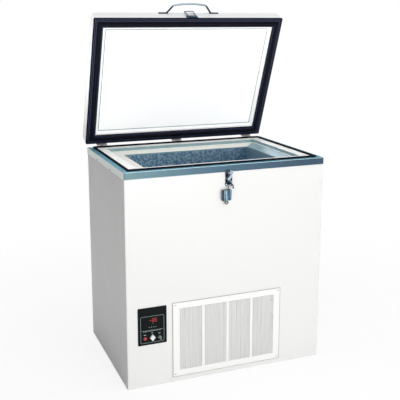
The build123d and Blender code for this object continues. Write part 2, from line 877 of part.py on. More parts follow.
with BuildPart() as latch_base:
    with BuildSketch(front_plane(front_face)):
        with Locations((0, (latch_bottom + latch_top) / 2)):
            RectangleRounded(latch_width, latch_top - latch_bottom, latch_corner)
    extrude(amount=latch_sheet)
    for side in (-1, 1):
        with BuildSketch(side_plane(side * ear_inner)) as ear:
            with BuildLine():
                Line((latch_face, latch_top - latch_ear_root), (latch_face, latch_top - latch_corner))
                CenterArc((pivot_y, pivot_z), latch_ear_radius, 0, 360)
            make_hull()
            with Locations((pivot_y, pivot_z)):
                Circle(latch_pin_radius, mode=Mode.SUBTRACT)
        extrude(ear.sketch, amount=side * latch_ear)
    with BuildSketch(side_plane(eye_x)) as eye:
        with BuildLine():
            Line((latch_face, eye_z - eye_radius + 1), (latch_face, eye_z + eye_radius))
            CenterArc((eye_y, eye_z), eye_radius, 0, 360)
        make_hull()
        with Locations((eye_y, eye_z)):
            Circle(shackle_radius + eye_slack, mode=Mode.SUBTRACT)
    extrude(eye.sketch, amount=eye_sheet / 2, both=True)
    add(latch_screws.part, mode=Mode.SUBTRACT)
latch_base.part.label = "latch_base"
export_step(latch_base.part, "parts/latch_base.step")

with BuildPart() as latch_pin:
    with BuildSketch(side_plane(-ear_inner - latch_ear)):
        with Locations((pivot_y, pivot_z)):
            Circle(latch_pin_radius)
    extrude(amount=2 * (ear_inner + latch_ear))
latch_pin.part.label = "latch_pin"
export_step(latch_pin.part, "parts/latch_pin.step")

# The lever's hook closes over the bail's cross bar, which it pulls down when the lever is folded down
bar_y = pivot_y - hook_forward
bar_z = pivot_z - hook_drop
hook_inner = bail_radius + hook_slack
hook_outer = hook_inner + hook_wall
lever_front = pivot_y - lever_boss
lever_end = pivot_z - lever_length
with BuildPart() as latch_lever:
    with BuildSketch(side_plane(-lever_width / 2)):
        with Locations((pivot_y, pivot_z)):
            Circle(lever_boss)
        with Locations((bar_y, bar_z)):
            Circle(hook_outer)
        with Locations((lever_front + lever_sheet / 2, pivot_z - lever_length / 2)):
            Rectangle(lever_sheet, lever_length)
        with Locations((lever_front + lever_sheet / 2 - lever_curl / 2, lever_end + lever_sheet / 2)):
            Rectangle(lever_curl, lever_sheet)
        with Locations((bar_y, bar_z)):
            Circle(hook_inner, mode=Mode.SUBTRACT)
        with Locations((bar_y, bar_z - hook_outer / 2)):
            Rectangle(2 * hook_inner, hook_outer, mode=Mode.SUBTRACT)
        with Locations((bar_y - hook_outer / 2 - hook_inner / 2, bar_z - hook_lip - hook_outer / 2)):
            Rectangle(hook_outer, hook_outer, mode=Mode.SUBTRACT)
        with Locations((pivot_y, pivot_z)):
            Circle(latch_pin_radius + running_fit, mode=Mode.SUBTRACT)
    extrude(amount=lever_width)
latch_lever.part.label = "latch_lever"
export_step(latch_lever.part, "parts/latch_lever.step")

# Padlock: the shackle hangs in the eye with its short leg turned out, and the body hangs on the long leg
leg_z = eye_z - shackle_bow
lock_top = leg_z - shackle_leg
lock_bottom = lock_top - padlock_height
long_x = eye_x - shackle_bow
short_x = eye_x + shackle_bow
lock_x = long_x - shackle_bow
with BuildPart() as padlock_shackle:
    with BuildLine(front_plane(eye_y)) as shackle_line:
        Line((long_x, lock_top - shackle_depth), (long_x, leg_z))
        ThreePointArc((long_x, leg_z), (eye_x, eye_z), (short_x, leg_z))
        Line((short_x, leg_z), (short_x, leg_z - shackle_free))
    with BuildSketch(level(lock_top - shackle_depth)):
        with Locations((long_x, eye_y)):
            Circle(shackle_radius)
    sweep(path=shackle_line.line)
padlock_shackle.part.label = "padlock_shackle"
export_step(padlock_shackle.part, "parts/padlock_shackle.step")

layer_pitch = padlock_height / padlock_layers
with BuildPart() as padlock_body:
    for layer in range(padlock_layers):
        layer_z = lock_bottom + layer * layer_pitch
        with BuildSketch(level(layer_z)) as plate_plan:
            with Locations((lock_x, eye_y)):
                Rectangle(padlock_width, padlock_thickness)
            chamfer(plate_plan.vertices(), padlock_corner)
        extrude(plate_plan.sketch, amount=layer_pitch - layer_groove)
    with BuildSketch(level(lock_bottom)) as core_plan:
        with Locations((lock_x, eye_y)):
            Rectangle(padlock_width - layer_groove, padlock_thickness - layer_groove)
        chamfer(core_plan.vertices(), padlock_corner - layer_groove / 4)
    extrude(core_plan.sketch, amount=padlock_height)
    with Locations((long_x, eye_y, lock_top)):
        Hole(shackle_radius + running_fit, depth=shackle_depth + panel_fit)
    with Locations((lock_x - shackle_bow, eye_y, lock_top)):
        Hole(shackle_radius + running_fit, depth=socket_depth)
    with BuildSketch(level(lock_bottom)) as keyway:
        with Locations((lock_x, eye_y)):
            Circle(padlock_keyway)
    extrude(keyway.sketch, amount=padlock_key_depth + panel_fit, mode=Mode.SUBTRACT)
padlock_body.part.label = "padlock_body"
export_step(padlock_body.part, "parts/padlock_body.step")

key_top = lock_bottom + padlock_key_depth
key_neck = lock_bottom - 4 * panel_fit
with BuildPart() as padlock_key:
    with BuildSketch(front_plane(eye_y)):
        with Locations((lock_x, (key_top + key_neck) / 2)):
            Rectangle(padlock_key_blade, key_top - key_neck)
        with Locations((lock_x, key_neck - padlock_key_bow / 2)):
            Circle(padlock_key_bow / 2)
        with Locations((lock_x, key_neck - 1)):
            Rectangle(padlock_key_blade, 4)
        with Locations((lock_x, key_neck - padlock_key_bow * 0.6)):
            Circle(2.5, mode=Mode.SUBTRACT)
        for tooth in (2, 5, 8):
            with Locations((lock_x + padlock_key_blade / 2, key_neck + tooth + 2)):
                Rectangle(1.6, 1.4, mode=Mode.SUBTRACT)
    extrude(amount=key_sheet / 2, both=True)
padlock_key.part.label = "padlock_key"
export_step(padlock_key.part, "parts/padlock_key.step")

# Lid: painted pan, foam, dished liner and gasket
gasket_face = cabinet_height + lid_gap
shell_bottom = gasket_face + gasket_thickness
lid_top = shell_bottom + lid_shell_height
liner_top = shell_bottom + liner_sheet + liner_depth
lid_front = -lid_length / 2
lid_back = lid_length / 2
lid_up = Axis(lid_frame.origin, lid_frame.z_dir)


def lid_rectangle(height, inset, corner=0):
    """The lid's outline at an inset and a height of the closed lid."""
    with BuildSketch(on_lid(level(height))) as outline:
        if corner:
            RectangleRounded(lid_width - 2 * inset, lid_length - 2 * inset, corner)
        else:
            Rectangle(lid_width - 2 * inset, lid_length - 2 * inset)
    return outline.sketch


with BuildPart() as lid_shell:
    extrude(lid_rectangle(shell_bottom, 0, lid_corner), amount=lid_shell_height)
    fillet(lid_shell.faces().sort_by(lid_up)[-1].edges(), lid_edge)
    extrude(
        lid_rectangle(shell_bottom + lid_sheet, lid_sheet, lid_corner - lid_sheet),
        amount=lid_shell_height - 2 * lid_sheet,
        mode=Mode.SUBTRACT,
    )
    extrude(lid_rectangle(shell_bottom, lid_return), amount=lid_sheet, mode=Mode.SUBTRACT)
lid_shell.part.label = "lid_shell"
export_step(lid_shell.part, "parts/lid_shell.step")

dish_inset = gasket_width + liner_strip
liner_shift = liner_sheet * hypot(liner_slope, liner_depth) / liner_depth
back_inset = dish_inset - liner_shift
back_slope = liner_slope * (liner_depth + liner_sheet) / liner_depth
with BuildPart() as lid_liner:
    extrude(lid_rectangle(shell_bottom, lid_return + panel_fit), amount=liner_sheet)
    loft([lid_rectangle(shell_bottom, back_inset), lid_rectangle(liner_top, back_inset + back_slope)])
    loft(
        [
            lid_rectangle(shell_bottom, dish_inset),
            lid_rectangle(shell_bottom + liner_depth, dish_inset + liner_slope),
        ],
        mode=Mode.SUBTRACT,
    )
lid_liner.part.label = "lid_liner"
export_step(lid_liner.part, "parts/lid_liner.step")

foam_bottom = shell_bottom + lid_sheet
with BuildPart() as lid_foam:
    extrude(
        lid_rectangle(foam_bottom, lid_sheet, lid_corner - lid_sheet),
        amount=lid_top - lid_sheet - foam_bottom,
    )
    loft(
        [lid_rectangle(shell_bottom, back_inset), lid_rectangle(liner_top, back_inset + back_slope)],
        mode=Mode.SUBTRACT,
    )
lid_foam.part.label = "lid_foam"
export_step(lid_foam.part, "parts/lid_foam.step")

bulb_inset = bead_inset + bead_width / 2 + (lid_width - cabinet_width) / 2
bulb_drop = lid_gap - bead_height - seal_gap
bulb_y = lid_front + bulb_inset
bulb_half = gasket_bulb_width / 2
with BuildPart() as lid_gasket:
    extrude(lid_rectangle(gasket_face, 0, lid_corner), amount=gasket_thickness)
    extrude(lid_rectangle(gasket_face, gasket_width), amount=gasket_thickness, mode=Mode.SUBTRACT)
    with BuildLine(on_lid(level(gasket_face))) as bulb_path:
        rectangle_path(lid_width, lid_length)
    with BuildSketch(on_lid(side_plane(0))) as bulb:
        with BuildLine():
            Polyline(
                (bulb_y - bulb_half, gasket_face - gasket_bulb_shoulder),
                (bulb_y - bulb_half, gasket_face),
                (bulb_y + bulb_half, gasket_face),
                (bulb_y + bulb_half, gasket_face - gasket_bulb_shoulder),
            )
            ThreePointArc(
                (bulb_y + bulb_half, gasket_face - gasket_bulb_shoulder),
                (bulb_y, gasket_face - bulb_drop),
                (bulb_y - bulb_half, gasket_face - gasket_bulb_shoulder),
            )
        make_face()
    sweep(bulb.sketch, path=bulb_path.line, transition=Transition.RIGHT)
lid_gasket.part.label = "lid_gasket"
export_step(lid_gasket.part, "parts/lid_gasket.step")

# Handle: a bent rod on two feet
handle_z = lid_top - handle_from_top
foot_face = lid_front - handle_foot_sheet
foot_x = handle_base / 2 - handle_foot_overlap + handle_foot / 2
bow_corner = lid_front - handle_reach + handle_crown
foot_screw_points = []
for side in (-1, 1):
    for step in (0.1, 0.38):
        foot_screw_points.append((side * (foot_x + step * handle_foot), handle_z))
with BuildPart() as handle_screws:
    screws(on_lid(front_plane(foot_face)), foot_screw_points, handle_foot_sheet)
handle_screws.part.label = "handle_screws"
export_step(handle_screws.part, "parts/handle_screws.step")

with BuildPart() as lid_handle:
    with BuildLine(on_lid(level(handle_z))) as bow:
        FilletPolyline(
            (-handle_base / 2, lid_front - handle_foot_sheet * 0.8),
            (-handle_top / 2, bow_corner),
            (0, lid_front - handle_reach),
            (handle_top / 2, bow_corner),
            (handle_base / 2, lid_front - handle_foot_sheet * 0.8),
            radius=(handle_bend, handle_crown_radius, handle_bend),
        )
    with BuildSketch(Plane(origin=bow.line @ 0, z_dir=bow.line % 0)):
        Circle(handle_rod)
    sweep(path=bow.line)
    with BuildSketch(on_lid(front_plane(lid_front))) as feet:
        with Locations((-foot_x, handle_z), (foot_x, handle_z)):
            RectangleRounded(handle_foot, handle_foot_height, handle_foot_height / 2 - 1)
    extrude(feet.sketch, amount=handle_foot_sheet)
    add(handle_screws.part, mode=Mode.SUBTRACT)
lid_handle.part.label = "lid_handle"
export_step(lid_handle.part, "parts/lid_handle.step")

# Strike bracket and bail on the lid's front rim
bail_y = lid_front - bail_reach
bail_z = gasket_face + strike_lift
bail_length = hypot(bar_y - bail_y, bar_z - bail_z)
strike_face = lid_front - strike_sheet
strike_bottom = bail_z - strike_barrel
strike_screw_z = strike_bottom + strike_height * 0.7
with BuildPart() as strike_screws:
    screws(
        on_lid(front_plane(strike_face)),
        [(side * strike_screw_x, strike_screw_z) for side in (-1, 1)],
        strike_sheet,
    )
strike_screws.part.label = "strike_screws"
export_step(strike_screws.part, "parts/strike_screws.step")

with BuildPart() as strike_bracket:
    with BuildSketch(on_lid(front_plane(lid_front))):
        with Locations((0, strike_bottom + strike_height / 2)):
            RectangleRounded(strike_width, strike_height, latch_corner)
    extrude(amount=strike_sheet)
    with BuildSketch(on_lid(side_plane(-strike_barrel_length / 2))) as barrel:
        with BuildLine():
            Line((strike_face, strike_bottom + 0.5), (strike_face, bail_z + strike_barrel + 3))
            CenterArc((bail_y, bail_z), strike_barrel, 0, 360)
        make_hull()
    extrude(barrel.sketch, amount=strike_barrel_length)
    with BuildSketch(on_lid(side_plane(-strike_width / 2))) as bore:
        with Locations((bail_y, bail_z)):
            Circle(bail_radius + running_fit)
    extrude(bore.sketch, amount=strike_width, mode=Mode.SUBTRACT)
    add(strike_screws.part, mode=Mode.SUBTRACT)
strike_bracket.part.label = "strike_bracket"
export_step(strike_bracket.part, "parts/strike_bracket.step")

tail_x = strike_barrel_length / 2 - bail_tail
with BuildPart() as strike_bail:
    with BuildLine(on_lid(front_plane(bail_y))) as bail_line:
        cut_corners(
            [
                (-tail_x, bail_z),
                (-bail_base / 2, bail_z),
                (-bail_end / 2, bail_z + bail_length),
                (bail_end / 2, bail_z + bail_length),
                (bail_base / 2, bail_z),
                (tail_x, bail_z),
            ],
            bail_bend / 2,
        )
    with BuildSketch(Plane(origin=bail_line.line @ 0, z_dir=bail_line.line % 0)):
        Circle(bail_radius)
    sweep(path=bail_line.line, transition=Transition.RIGHT)
strike_bail.part.label = "strike_bail"
export_step(strike_bail.part, "parts/strike_bail.step")

# Three butt hinges on the back of the collar
axis_y = hinge_y
axis_z = hinge_z
hinge_places = (-hinge_spacing, 0, hinge_spacing)
hinge_screw_places = []
for x in hinge_places:
    hinge_screw_places.append(x - hinge_screw_x)
    hinge_screw_places.append(x + hinge_screw_x)
cabinet_leaf_bottom = axis_z - cabinet_leaf_height
lid_leaf_top = axis_z + lid_leaf_height
lid_leaf_shoulder = axis_z + hinge_knuckle + 2 * hinge_gap
with BuildPart() as hinge_cabinet_screws:
    screws(
        back_plane(collar_back + hinge_leaf),
        [(x, cabinet_leaf_bottom + hinge_screw_lift) for x in hinge_screw_places],
        hinge_leaf,
    )
hinge_cabinet_screws.part.label = "hinge_cabinet_screws"
export_step(hinge_cabinet_screws.part, "parts/hinge_cabinet_screws.step")

with BuildPart() as hinge_cabinet_leaves:
    for x in hinge_places:
        with BuildSketch(side_plane(x - hinge_width / 2)) as leaf:
            with Locations((collar_back + hinge_leaf / 2, axis_z - cabinet_leaf_height / 2)):
                Rectangle(hinge_leaf, cabinet_leaf_height)
            with Locations((axis_y, axis_z)):
                Circle(hinge_knuckle)
                Circle(hinge_pin_radius, mode=Mode.SUBTRACT)
        extrude(leaf.sketch, amount=hinge_width)
        with BuildSketch(side_plane(x - hinge_middle / 2)) as middle:
            with Locations((axis_y, axis_z)):
                Rectangle(4 * hinge_knuckle, 2 * hinge_knuckle + 2 * hinge_gap)
        extrude(middle.sketch, amount=hinge_middle, mode=Mode.SUBTRACT)
    add(hinge_cabinet_screws.part, mode=Mode.SUBTRACT)
hinge_cabinet_leaves.part.label = "hinge_cabinet_leaves"
export_step(hinge_cabinet_leaves.part, "parts/hinge_cabinet_leaves.step")

with BuildPart() as hinge_lid_screws:
    screws(
        on_lid(back_plane(lid_back + hinge_leaf)),
        [(x, lid_leaf_top - hinge_screw_drop) for x in hinge_screw_places],
        hinge_leaf,
    )
hinge_lid_screws.part.label = "hinge_lid_screws"
export_step(hinge_lid_screws.part, "parts/hinge_lid_screws.step")

with BuildPart() as hinge_lid_leaves:
    for x in hinge_places:
        lid_knuckle = hinge_middle - 2 * hinge_gap
        with BuildSketch(on_lid(side_plane(x - lid_knuckle / 2))) as knuckle:
            with Locations((lid_back + hinge_leaf / 2, axis_z + lid_leaf_height / 2)):
                Rectangle(hinge_leaf, lid_leaf_height)
            with Locations((axis_y, axis_z)):
                Circle(hinge_knuckle)
                Circle(hinge_pin_radius + running_fit, mode=Mode.SUBTRACT)
        extrude(knuckle.sketch, amount=lid_knuckle)
        with BuildSketch(on_lid(back_plane(lid_back))) as leaf:
            with Locations((-x, (lid_leaf_shoulder + lid_leaf_top) / 2)):
                Rectangle(hinge_width, lid_leaf_top - lid_leaf_shoulder)
        extrude(leaf.sketch, amount=hinge_leaf)
    add(hinge_lid_screws.part, mode=Mode.SUBTRACT)
hinge_lid_leaves.part.label = "hinge_lid_leaves"
export_step(hinge_lid_leaves.part, "parts/hinge_lid_leaves.step")

with BuildPart() as hinge_pins:
    for x in hinge_places:
        with BuildSketch(side_plane(x - hinge_width / 2 - hinge_pin_head)) as pin:
            with Locations((axis_y, axis_z)):
                Circle(hinge_pin_radius)
        extrude(pin.sketch, amount=hinge_width + 2 * hinge_pin_head)
        for end in (-1, 1):
            with BuildSketch(side_plane(x + end * hinge_width / 2)) as head:
                with Locations((axis_y, axis_z)):
                    Circle(hinge_knuckle - 1)
            extrude(head.sketch, amount=end * hinge_pin_head)
hinge_pins.part.label = "hinge_pins"
export_step(hinge_pins.part, "parts/hinge_pins.step")

# Condenser: a finned block between two end plates that stand on the pan
condenser_front = front_face + condenser_setback
condenser_back = condenser_front + condenser_depth
condenser_y = (condenser_front + condenser_back) / 2
condenser_top = condenser_bottom + condenser_height
fin_pitch = condenser_width / condenser_fins
high_port = condenser_top - condenser_port
low_port = condenser_bottom + condenser_port
with BuildPart() as condenser:
    with BuildSketch(front_plane(condenser_back)):
        with Locations((0, condenser_bottom + condenser_height / 2)):
            Rectangle(condenser_width, condenser_height)
    extrude(amount=condenser_depth)
    for groove_face in (condenser_front, condenser_back - fin_gap):
        with BuildSketch(front_plane(groove_face + fin_gap)) as grooves:
            with Locations((0, condenser_bottom + condenser_height / 2)):
                with GridLocations(fin_pitch, 0, condenser_fins - 1, 1):
                    Rectangle(fin_cut, condenser_height)
        extrude(grooves.sketch, amount=fin_gap, mode=Mode.SUBTRACT)
    for side in (-1, 1):
        with BuildSketch(side_plane(side * condenser_width / 2)) as end_plate:
            with Locations((condenser_y, (pan_sheet + condenser_top) / 2)):
                Rectangle(condenser_depth, condenser_top - pan_sheet)
        extrude(end_plate.sketch, amount=side * end_sheet)
    for side, port_z in ((1, high_port), (-1, low_port)):
        with BuildSketch(side_plane(side * condenser_width / 2)) as port:
            with Locations((condenser_y, port_z)):
                Circle(stub_radius)
        extrude(port.sketch, amount=side * (end_sheet + stub_length))
condenser.part.label = "condenser"
export_step(condenser.part, "parts/condenser.step")

# Fan with its shroud, bracket and motor
shroud_back = condenser_back + shroud_depth
with BuildPart() as fan_shroud:
    with BuildSketch(front_plane(shroud_back)):
        with Locations((0, condenser_bottom + condenser_height / 2)):
            Rectangle(condenser_width, condenser_height)
    extrude(amount=shroud_depth)
    with BuildSketch(front_plane(shroud_back - shroud_sheet)):
        with Locations((0, condenser_bottom + condenser_height / 2)):
            Rectangle(condenser_width - 2 * shroud_sheet, condenser_height - 2 * shroud_sheet)
    extrude(amount=shroud_depth, mode=Mode.SUBTRACT)
    with BuildSketch(front_plane(shroud_back)):
        with Locations((0, fan_z)):
            Circle(fan_orifice)
    extrude(amount=shroud_sheet, mode=Mode.SUBTRACT)
fan_shroud.part.label = "fan_shroud"
export_step(fan_shroud.part, "parts/fan_shroud.step")

motor_front = shroud_back + bracket_reach
with BuildPart() as fan_bracket:
    with BuildSketch(front_plane(motor_front)):
        with Locations((0, fan_z)):
            Circle(motor_radius)
            for turn in (45, 135):
                SlotOverall(2 * (bracket_circle + 2 * bracket_post), 4 * bracket_post, rotation=turn)
            Circle(3 * fan_shaft, mode=Mode.SUBTRACT)
    extrude(amount=motor_plate)
    with BuildSketch(front_plane(motor_front - motor_plate)):
        with Locations((0, fan_z)):
            with PolarLocations(bracket_circle, 4, start_angle=45):
                Circle(bracket_post)
    extrude(amount=bracket_reach - motor_plate)
fan_bracket.part.label = "fan_bracket"
export_step(fan_bracket.part, "parts/fan_bracket.step")

fan_y = shroud_back + fan_setback
with BuildPart() as fan_motor:
    with BuildSketch(front_plane(motor_front + motor_length)):
        with Locations((0, fan_z)):
            Circle(motor_radius)
    extrude(amount=motor_length)
    chamfer(fan_motor.faces().sort_by(Axis.Y)[-1].edges(), motor_radius / 5)
    with BuildSketch(front_plane(motor_front)):
        with Locations((0, fan_z)):
            Circle(fan_shaft)
    extrude(amount=motor_front - fan_y + fan_hub_length / 2)
fan_motor.part.label = "fan_motor"
export_step(fan_motor.part, "parts/fan_motor.step")

with BuildPart() as fan_blades:
    with BuildSketch(front_plane(fan_y + fan_hub_length / 2)):
        with Locations((0, fan_z)):
            Circle(fan_hub)
    extrude(amount=fan_hub_length)
    for blade in range(fan_blades_count):
        turn = radians(90 + 360 / fan_blades_count * blade)
        sections = []
        for reach, chord in ((fan_root, fan_root_chord), (fan_tip, fan_tip_chord)):
            station = Plane(
                origin=(reach * cos(turn), fan_y, fan_z + reach * sin(turn)),
                x_dir=(-sin(turn), 0, cos(turn)),
                z_dir=(cos(turn), 0, sin(turn)),
            )
            with BuildSketch(station) as section:
                Rectangle(chord, fan_blade_sheet, rotation=fan_blade_angle)
            sections.append(section.sketch)
        loft(sections, ruled=True)
    with BuildSketch(front_plane(fan_y + fan_hub_length / 2)):
        with Locations((0, fan_z)):
            Circle(fan_shaft + running_fit)
    extrude(amount=fan_hub_length, mode=Mode.SUBTRACT)
fan_blades.part.label = "fan_blades"
export_step(fan_blades.part, "parts/fan_blades.step")

# Two hermetic compressors on rubber mounts
compressor_right = compressor_x + compressor_spacing / 2
compressor_left = compressor_x - compressor_spacing / 2
foot_bottom = pan_sheet + mount_height
shell_floor = foot_bottom + foot_plate
shell_top = shell_floor + compressor_height
discharge_y = compressor_y + stub_y
shell_inner = compressor_radius - compressor_wall
dome_z = shell_top - compressor_dome


def shell_outline(radius, bottom, top):
    """Half the section of an upright drum with a conical top, from its axis outwards."""
    Polyline((0, top), (0, bottom), (radius, bottom), (radius, dome_z), (radius / 2, top), close=True)


def compressor(x):
    """A hollow welded shell on a square foot plate."""
    with BuildSketch(level(foot_bottom)) as foot:
        with Locations((x, compressor_y)):
            Rectangle(foot_span, foot_span)
        chamfer(foot.vertices(), mount_radius / 2)
    extrude(foot.sketch, amount=foot_plate)
    with BuildSketch(Plane(origin=(x, compressor_y, 0), x_dir=(1, 0, 0), z_dir=(0, -1, 0))) as profile:
        with BuildLine():
            shell_outline(compressor_radius, shell_floor, shell_top)
        make_face()
        with BuildLine():
            shell_outline(shell_inner, shell_floor + compressor_wall, shell_top - compressor_wall)
        make_face(mode=Mode.SUBTRACT)
    revolve(profile.sketch, axis=Axis((x, compressor_y, 0), (0, 0, 1)))


meeting_x = vessel_x - vessel_radius - panel_fit
meeting_y = (compressor_y + coil_back) / 2
with BuildPart() as compressor_first:
    compressor(compressor_right)
    with BuildSketch(side_plane(compressor_right + shell_inner)) as suction:
        with Locations((meeting_y, suction_z)):
            Circle(stub_radius)
    extrude(suction.sketch, amount=meeting_x - compressor_right - shell_inner)
    with BuildSketch(level(shell_top - compressor_wall - stub_length)) as discharge:
        with Locations((compressor_right, discharge_y)):
            Circle(stub_radius)
    extrude(discharge.sketch, amount=compressor_wall + 2 * stub_length)
compressor_first.part.label = "compressor_first"
export_step(compressor_first.part, "parts/compressor_first.step")

exchanger_right = exchanger_x + exchanger_width / 2
with BuildPart() as compressor_second:
    compressor(compressor_left)
    with BuildSketch(side_plane(exchanger_right)) as ports:
        with Locations((discharge_y, suction_z), (discharge_y, 2 * suction_z)):
            Circle(stub_radius)
    extrude(ports.sketch, amount=compressor_left - shell_inner + compressor_wall - exchanger_right)
compressor_second.part.label = "compressor_second"
export_step(compressor_second.part, "parts/compressor_second.step")

mount_reach = foot_span / 2 - mount_radius
with BuildPart() as compressor_mounts:
    with BuildSketch(level(pan_sheet)):
        for x in (compressor_left, compressor_right):
            for side in (-1, 1):
                for end in (-1, 1):
                    with Locations((x + side * mount_reach, compressor_y + end * mount_reach)):
                        Circle(mount_radius)
    extrude(amount=mount_height)
compressor_mounts.part.label = "compressor_mounts"
export_step(compressor_mounts.part, "parts/compressor_mounts.step")

# Expansion tank, heat exchanger and filter drier
vessel_top = pan_sheet + vessel_height
with BuildPart() as expansion_tank:
    with BuildSketch(level(pan_sheet)):
        with Locations((vessel_x, coil_back)):
            Circle(vessel_radius)
    extrude(amount=vessel_height)
    chamfer(expansion_tank.edges().sort_by(Axis.Z)[-1], vessel_radius / 3)
    with BuildSketch(side_plane(meeting_x)) as boss:
        with Locations((meeting_y, suction_z)):
            Circle(stub_radius)
    extrude(boss.sketch, amount=2 * compressor_wall)
    with BuildSketch(level(vessel_top - stub_length)) as top_stub:
        with Locations((vessel_x, coil_back)):
            Circle(stub_radius)
    extrude(top_stub.sketch, amount=2 * stub_length)
    with BuildSketch(level(pan_sheet + compressor_wall)) as cavity:
        with Locations((vessel_x, coil_back)):
            Circle(vessel_radius - compressor_wall)
    extrude(cavity.sketch, amount=vessel_height - vessel_radius / 3 - compressor_wall, mode=Mode.SUBTRACT)
expansion_tank.part.label = "expansion_tank"
export_step(expansion_tank.part, "parts/expansion_tank.step")

exchanger_front = exchanger_y - exchanger_depth / 2
exchanger_top = pan_sheet + exchanger_height
with BuildPart() as heat_exchanger:
    with BuildSketch(level(pan_sheet)):
        with Locations((exchanger_x, exchanger_y)):
            Rectangle(exchanger_width, exchanger_depth)
    extrude(amount=exchanger_height)
heat_exchanger.part.label = "heat_exchanger"
export_step(heat_exchanger.part, "parts/heat_exchanger.step")

port_x = condenser_width / 2 + end_sheet + stub_length
drier_x = -port_x - tube_bend
drier_front = drier_y - drier_length / 2
with BuildPart() as filter_drier:
    with BuildSketch(front_plane(drier_front + drier_length)):
        with Locations((drier_x, low_port)):
            Circle(drier_radius)
    extrude(amount=drier_length)
    chamfer(filter_drier.faces().sort_by(Axis.Y)[0].edges(), drier_radius / 3)
    chamfer(filter_drier.faces().sort_by(Axis.Y)[-1].edges(), drier_radius / 3)
    with BuildSketch(front_plane(exchanger_front)):
        with Locations((drier_x, low_port)):
            Circle(coil_radius)
    extrude(amount=exchanger_front - drier_front + drier_neck)
filter_drier.part.label = "filter_drier"
export_step(filter_drier.part, "parts/filter_drier.step")

# Refrigerant lines of copper tube
with BuildPart() as discharge_line:
    with BuildLine() as discharge_path:
        cut_corners(
            [
                (compressor_right, discharge_y, shell_top + stub_length),
                (compressor_right, discharge_y, pipe_high),
                (pipe_side, discharge_y, pipe_high),
                (pipe_side, condenser_y, pipe_high),
                (pipe_side, condenser_y, high_port),
                (port_x, condenser_y, high_port),
            ],
            tube_bend / 2,
        )
    with BuildSketch(Plane(origin=discharge_path.line @ 0, z_dir=discharge_path.line % 0)):
        Circle(coil_radius)
    sweep(path=discharge_path.line, transition=Transition.RIGHT)
discharge_line.part.label = "discharge_line"
export_step(discharge_line.part, "parts/discharge_line.step")

with BuildPart() as liquid_line:
    with BuildLine() as liquid_path:
        cut_corners(
            [
                (-port_x, condenser_y, low_port),
                (drier_x, condenser_y, low_port),
                (drier_x, drier_front - drier_neck, low_port),
            ],
            tube_bend / 2,
        )
    with BuildSketch(Plane(origin=liquid_path.line @ 0, z_dir=liquid_path.line % 0)):
        Circle(coil_radius)
    sweep(path=liquid_path.line, transition=Transition.RIGHT)
liquid_line.part.label = "liquid_line"
export_step(liquid_line.part, "parts/liquid_line.step")

with BuildPart() as feed_line:
    with BuildLine() as feed_path:
        cut_corners(
            [
                (exchanger_x, coil_back, exchanger_top),
                (exchanger_x, coil_back, pipe_low),
                (-coil_riser_x, coil_back, pipe_low),
                (-coil_riser_x, coil_back, coil_riser_end),
            ],
            tube_bend / 2,
        )
    with BuildSketch(Plane(origin=feed_path.line @ 0, z_dir=feed_path.line % 0)):
        Circle(coil_radius)
    sweep(path=feed_path.line, transition=Transition.RIGHT)
feed_line.part.label = "feed_line"
export_step(feed_line.part, "parts/feed_line.step")

with BuildPart() as return_line:
    with BuildLine() as return_path:
        cut_corners(
            [
                (coil_riser_x, coil_back, coil_riser_end),
                (coil_riser_x, coil_back, pipe_low),
                (vessel_x, coil_back, pipe_low),
                (vessel_x, coil_back, vessel_top + stub_length),
            ],
            tube_bend / 2,
        )
    with BuildSketch(Plane(origin=return_path.line @ 0, z_dir=return_path.line % 0)):
        Circle(coil_radius)
    sweep(path=return_path.line, transition=Transition.RIGHT)
return_line.part.label = "return_line"
export_step(return_line.part, "parts/return_line.step")
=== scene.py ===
import json
import math

import bmesh
import bpy
from mathutils import Matrix, Vector


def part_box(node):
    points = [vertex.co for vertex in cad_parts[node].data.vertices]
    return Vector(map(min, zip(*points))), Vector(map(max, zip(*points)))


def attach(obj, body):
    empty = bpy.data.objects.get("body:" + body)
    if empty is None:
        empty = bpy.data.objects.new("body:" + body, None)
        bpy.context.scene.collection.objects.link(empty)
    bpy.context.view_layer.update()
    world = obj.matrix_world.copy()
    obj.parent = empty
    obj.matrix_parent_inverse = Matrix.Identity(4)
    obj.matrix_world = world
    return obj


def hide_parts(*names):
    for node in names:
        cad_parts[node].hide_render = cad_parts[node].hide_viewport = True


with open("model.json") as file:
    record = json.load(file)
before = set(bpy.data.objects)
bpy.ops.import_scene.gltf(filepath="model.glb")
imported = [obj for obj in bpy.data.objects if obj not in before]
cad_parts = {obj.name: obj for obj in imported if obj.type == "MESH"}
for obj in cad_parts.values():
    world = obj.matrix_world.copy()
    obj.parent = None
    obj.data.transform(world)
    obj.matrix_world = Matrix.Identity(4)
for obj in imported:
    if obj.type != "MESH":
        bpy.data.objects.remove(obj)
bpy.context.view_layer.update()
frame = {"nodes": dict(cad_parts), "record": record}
nodes = frame["nodes"]
MM = 0.001
# Sockets of the colour mix node
MIX_SHARE, MIX_FIRST, MIX_SECOND, MIX_RESULT = 0, 6, 7, 2


def srgb(r, g, b):
    """A colour of the photograph, 0 to 255, as linear light."""
    out = []
    for v in (r, g, b):
        v = v / 255.0
        out.append(v / 12.92 if v <= 0.04045 else ((v + 0.055) / 1.055) ** 2.4)
    return (out[0], out[1], out[2], 1.0)


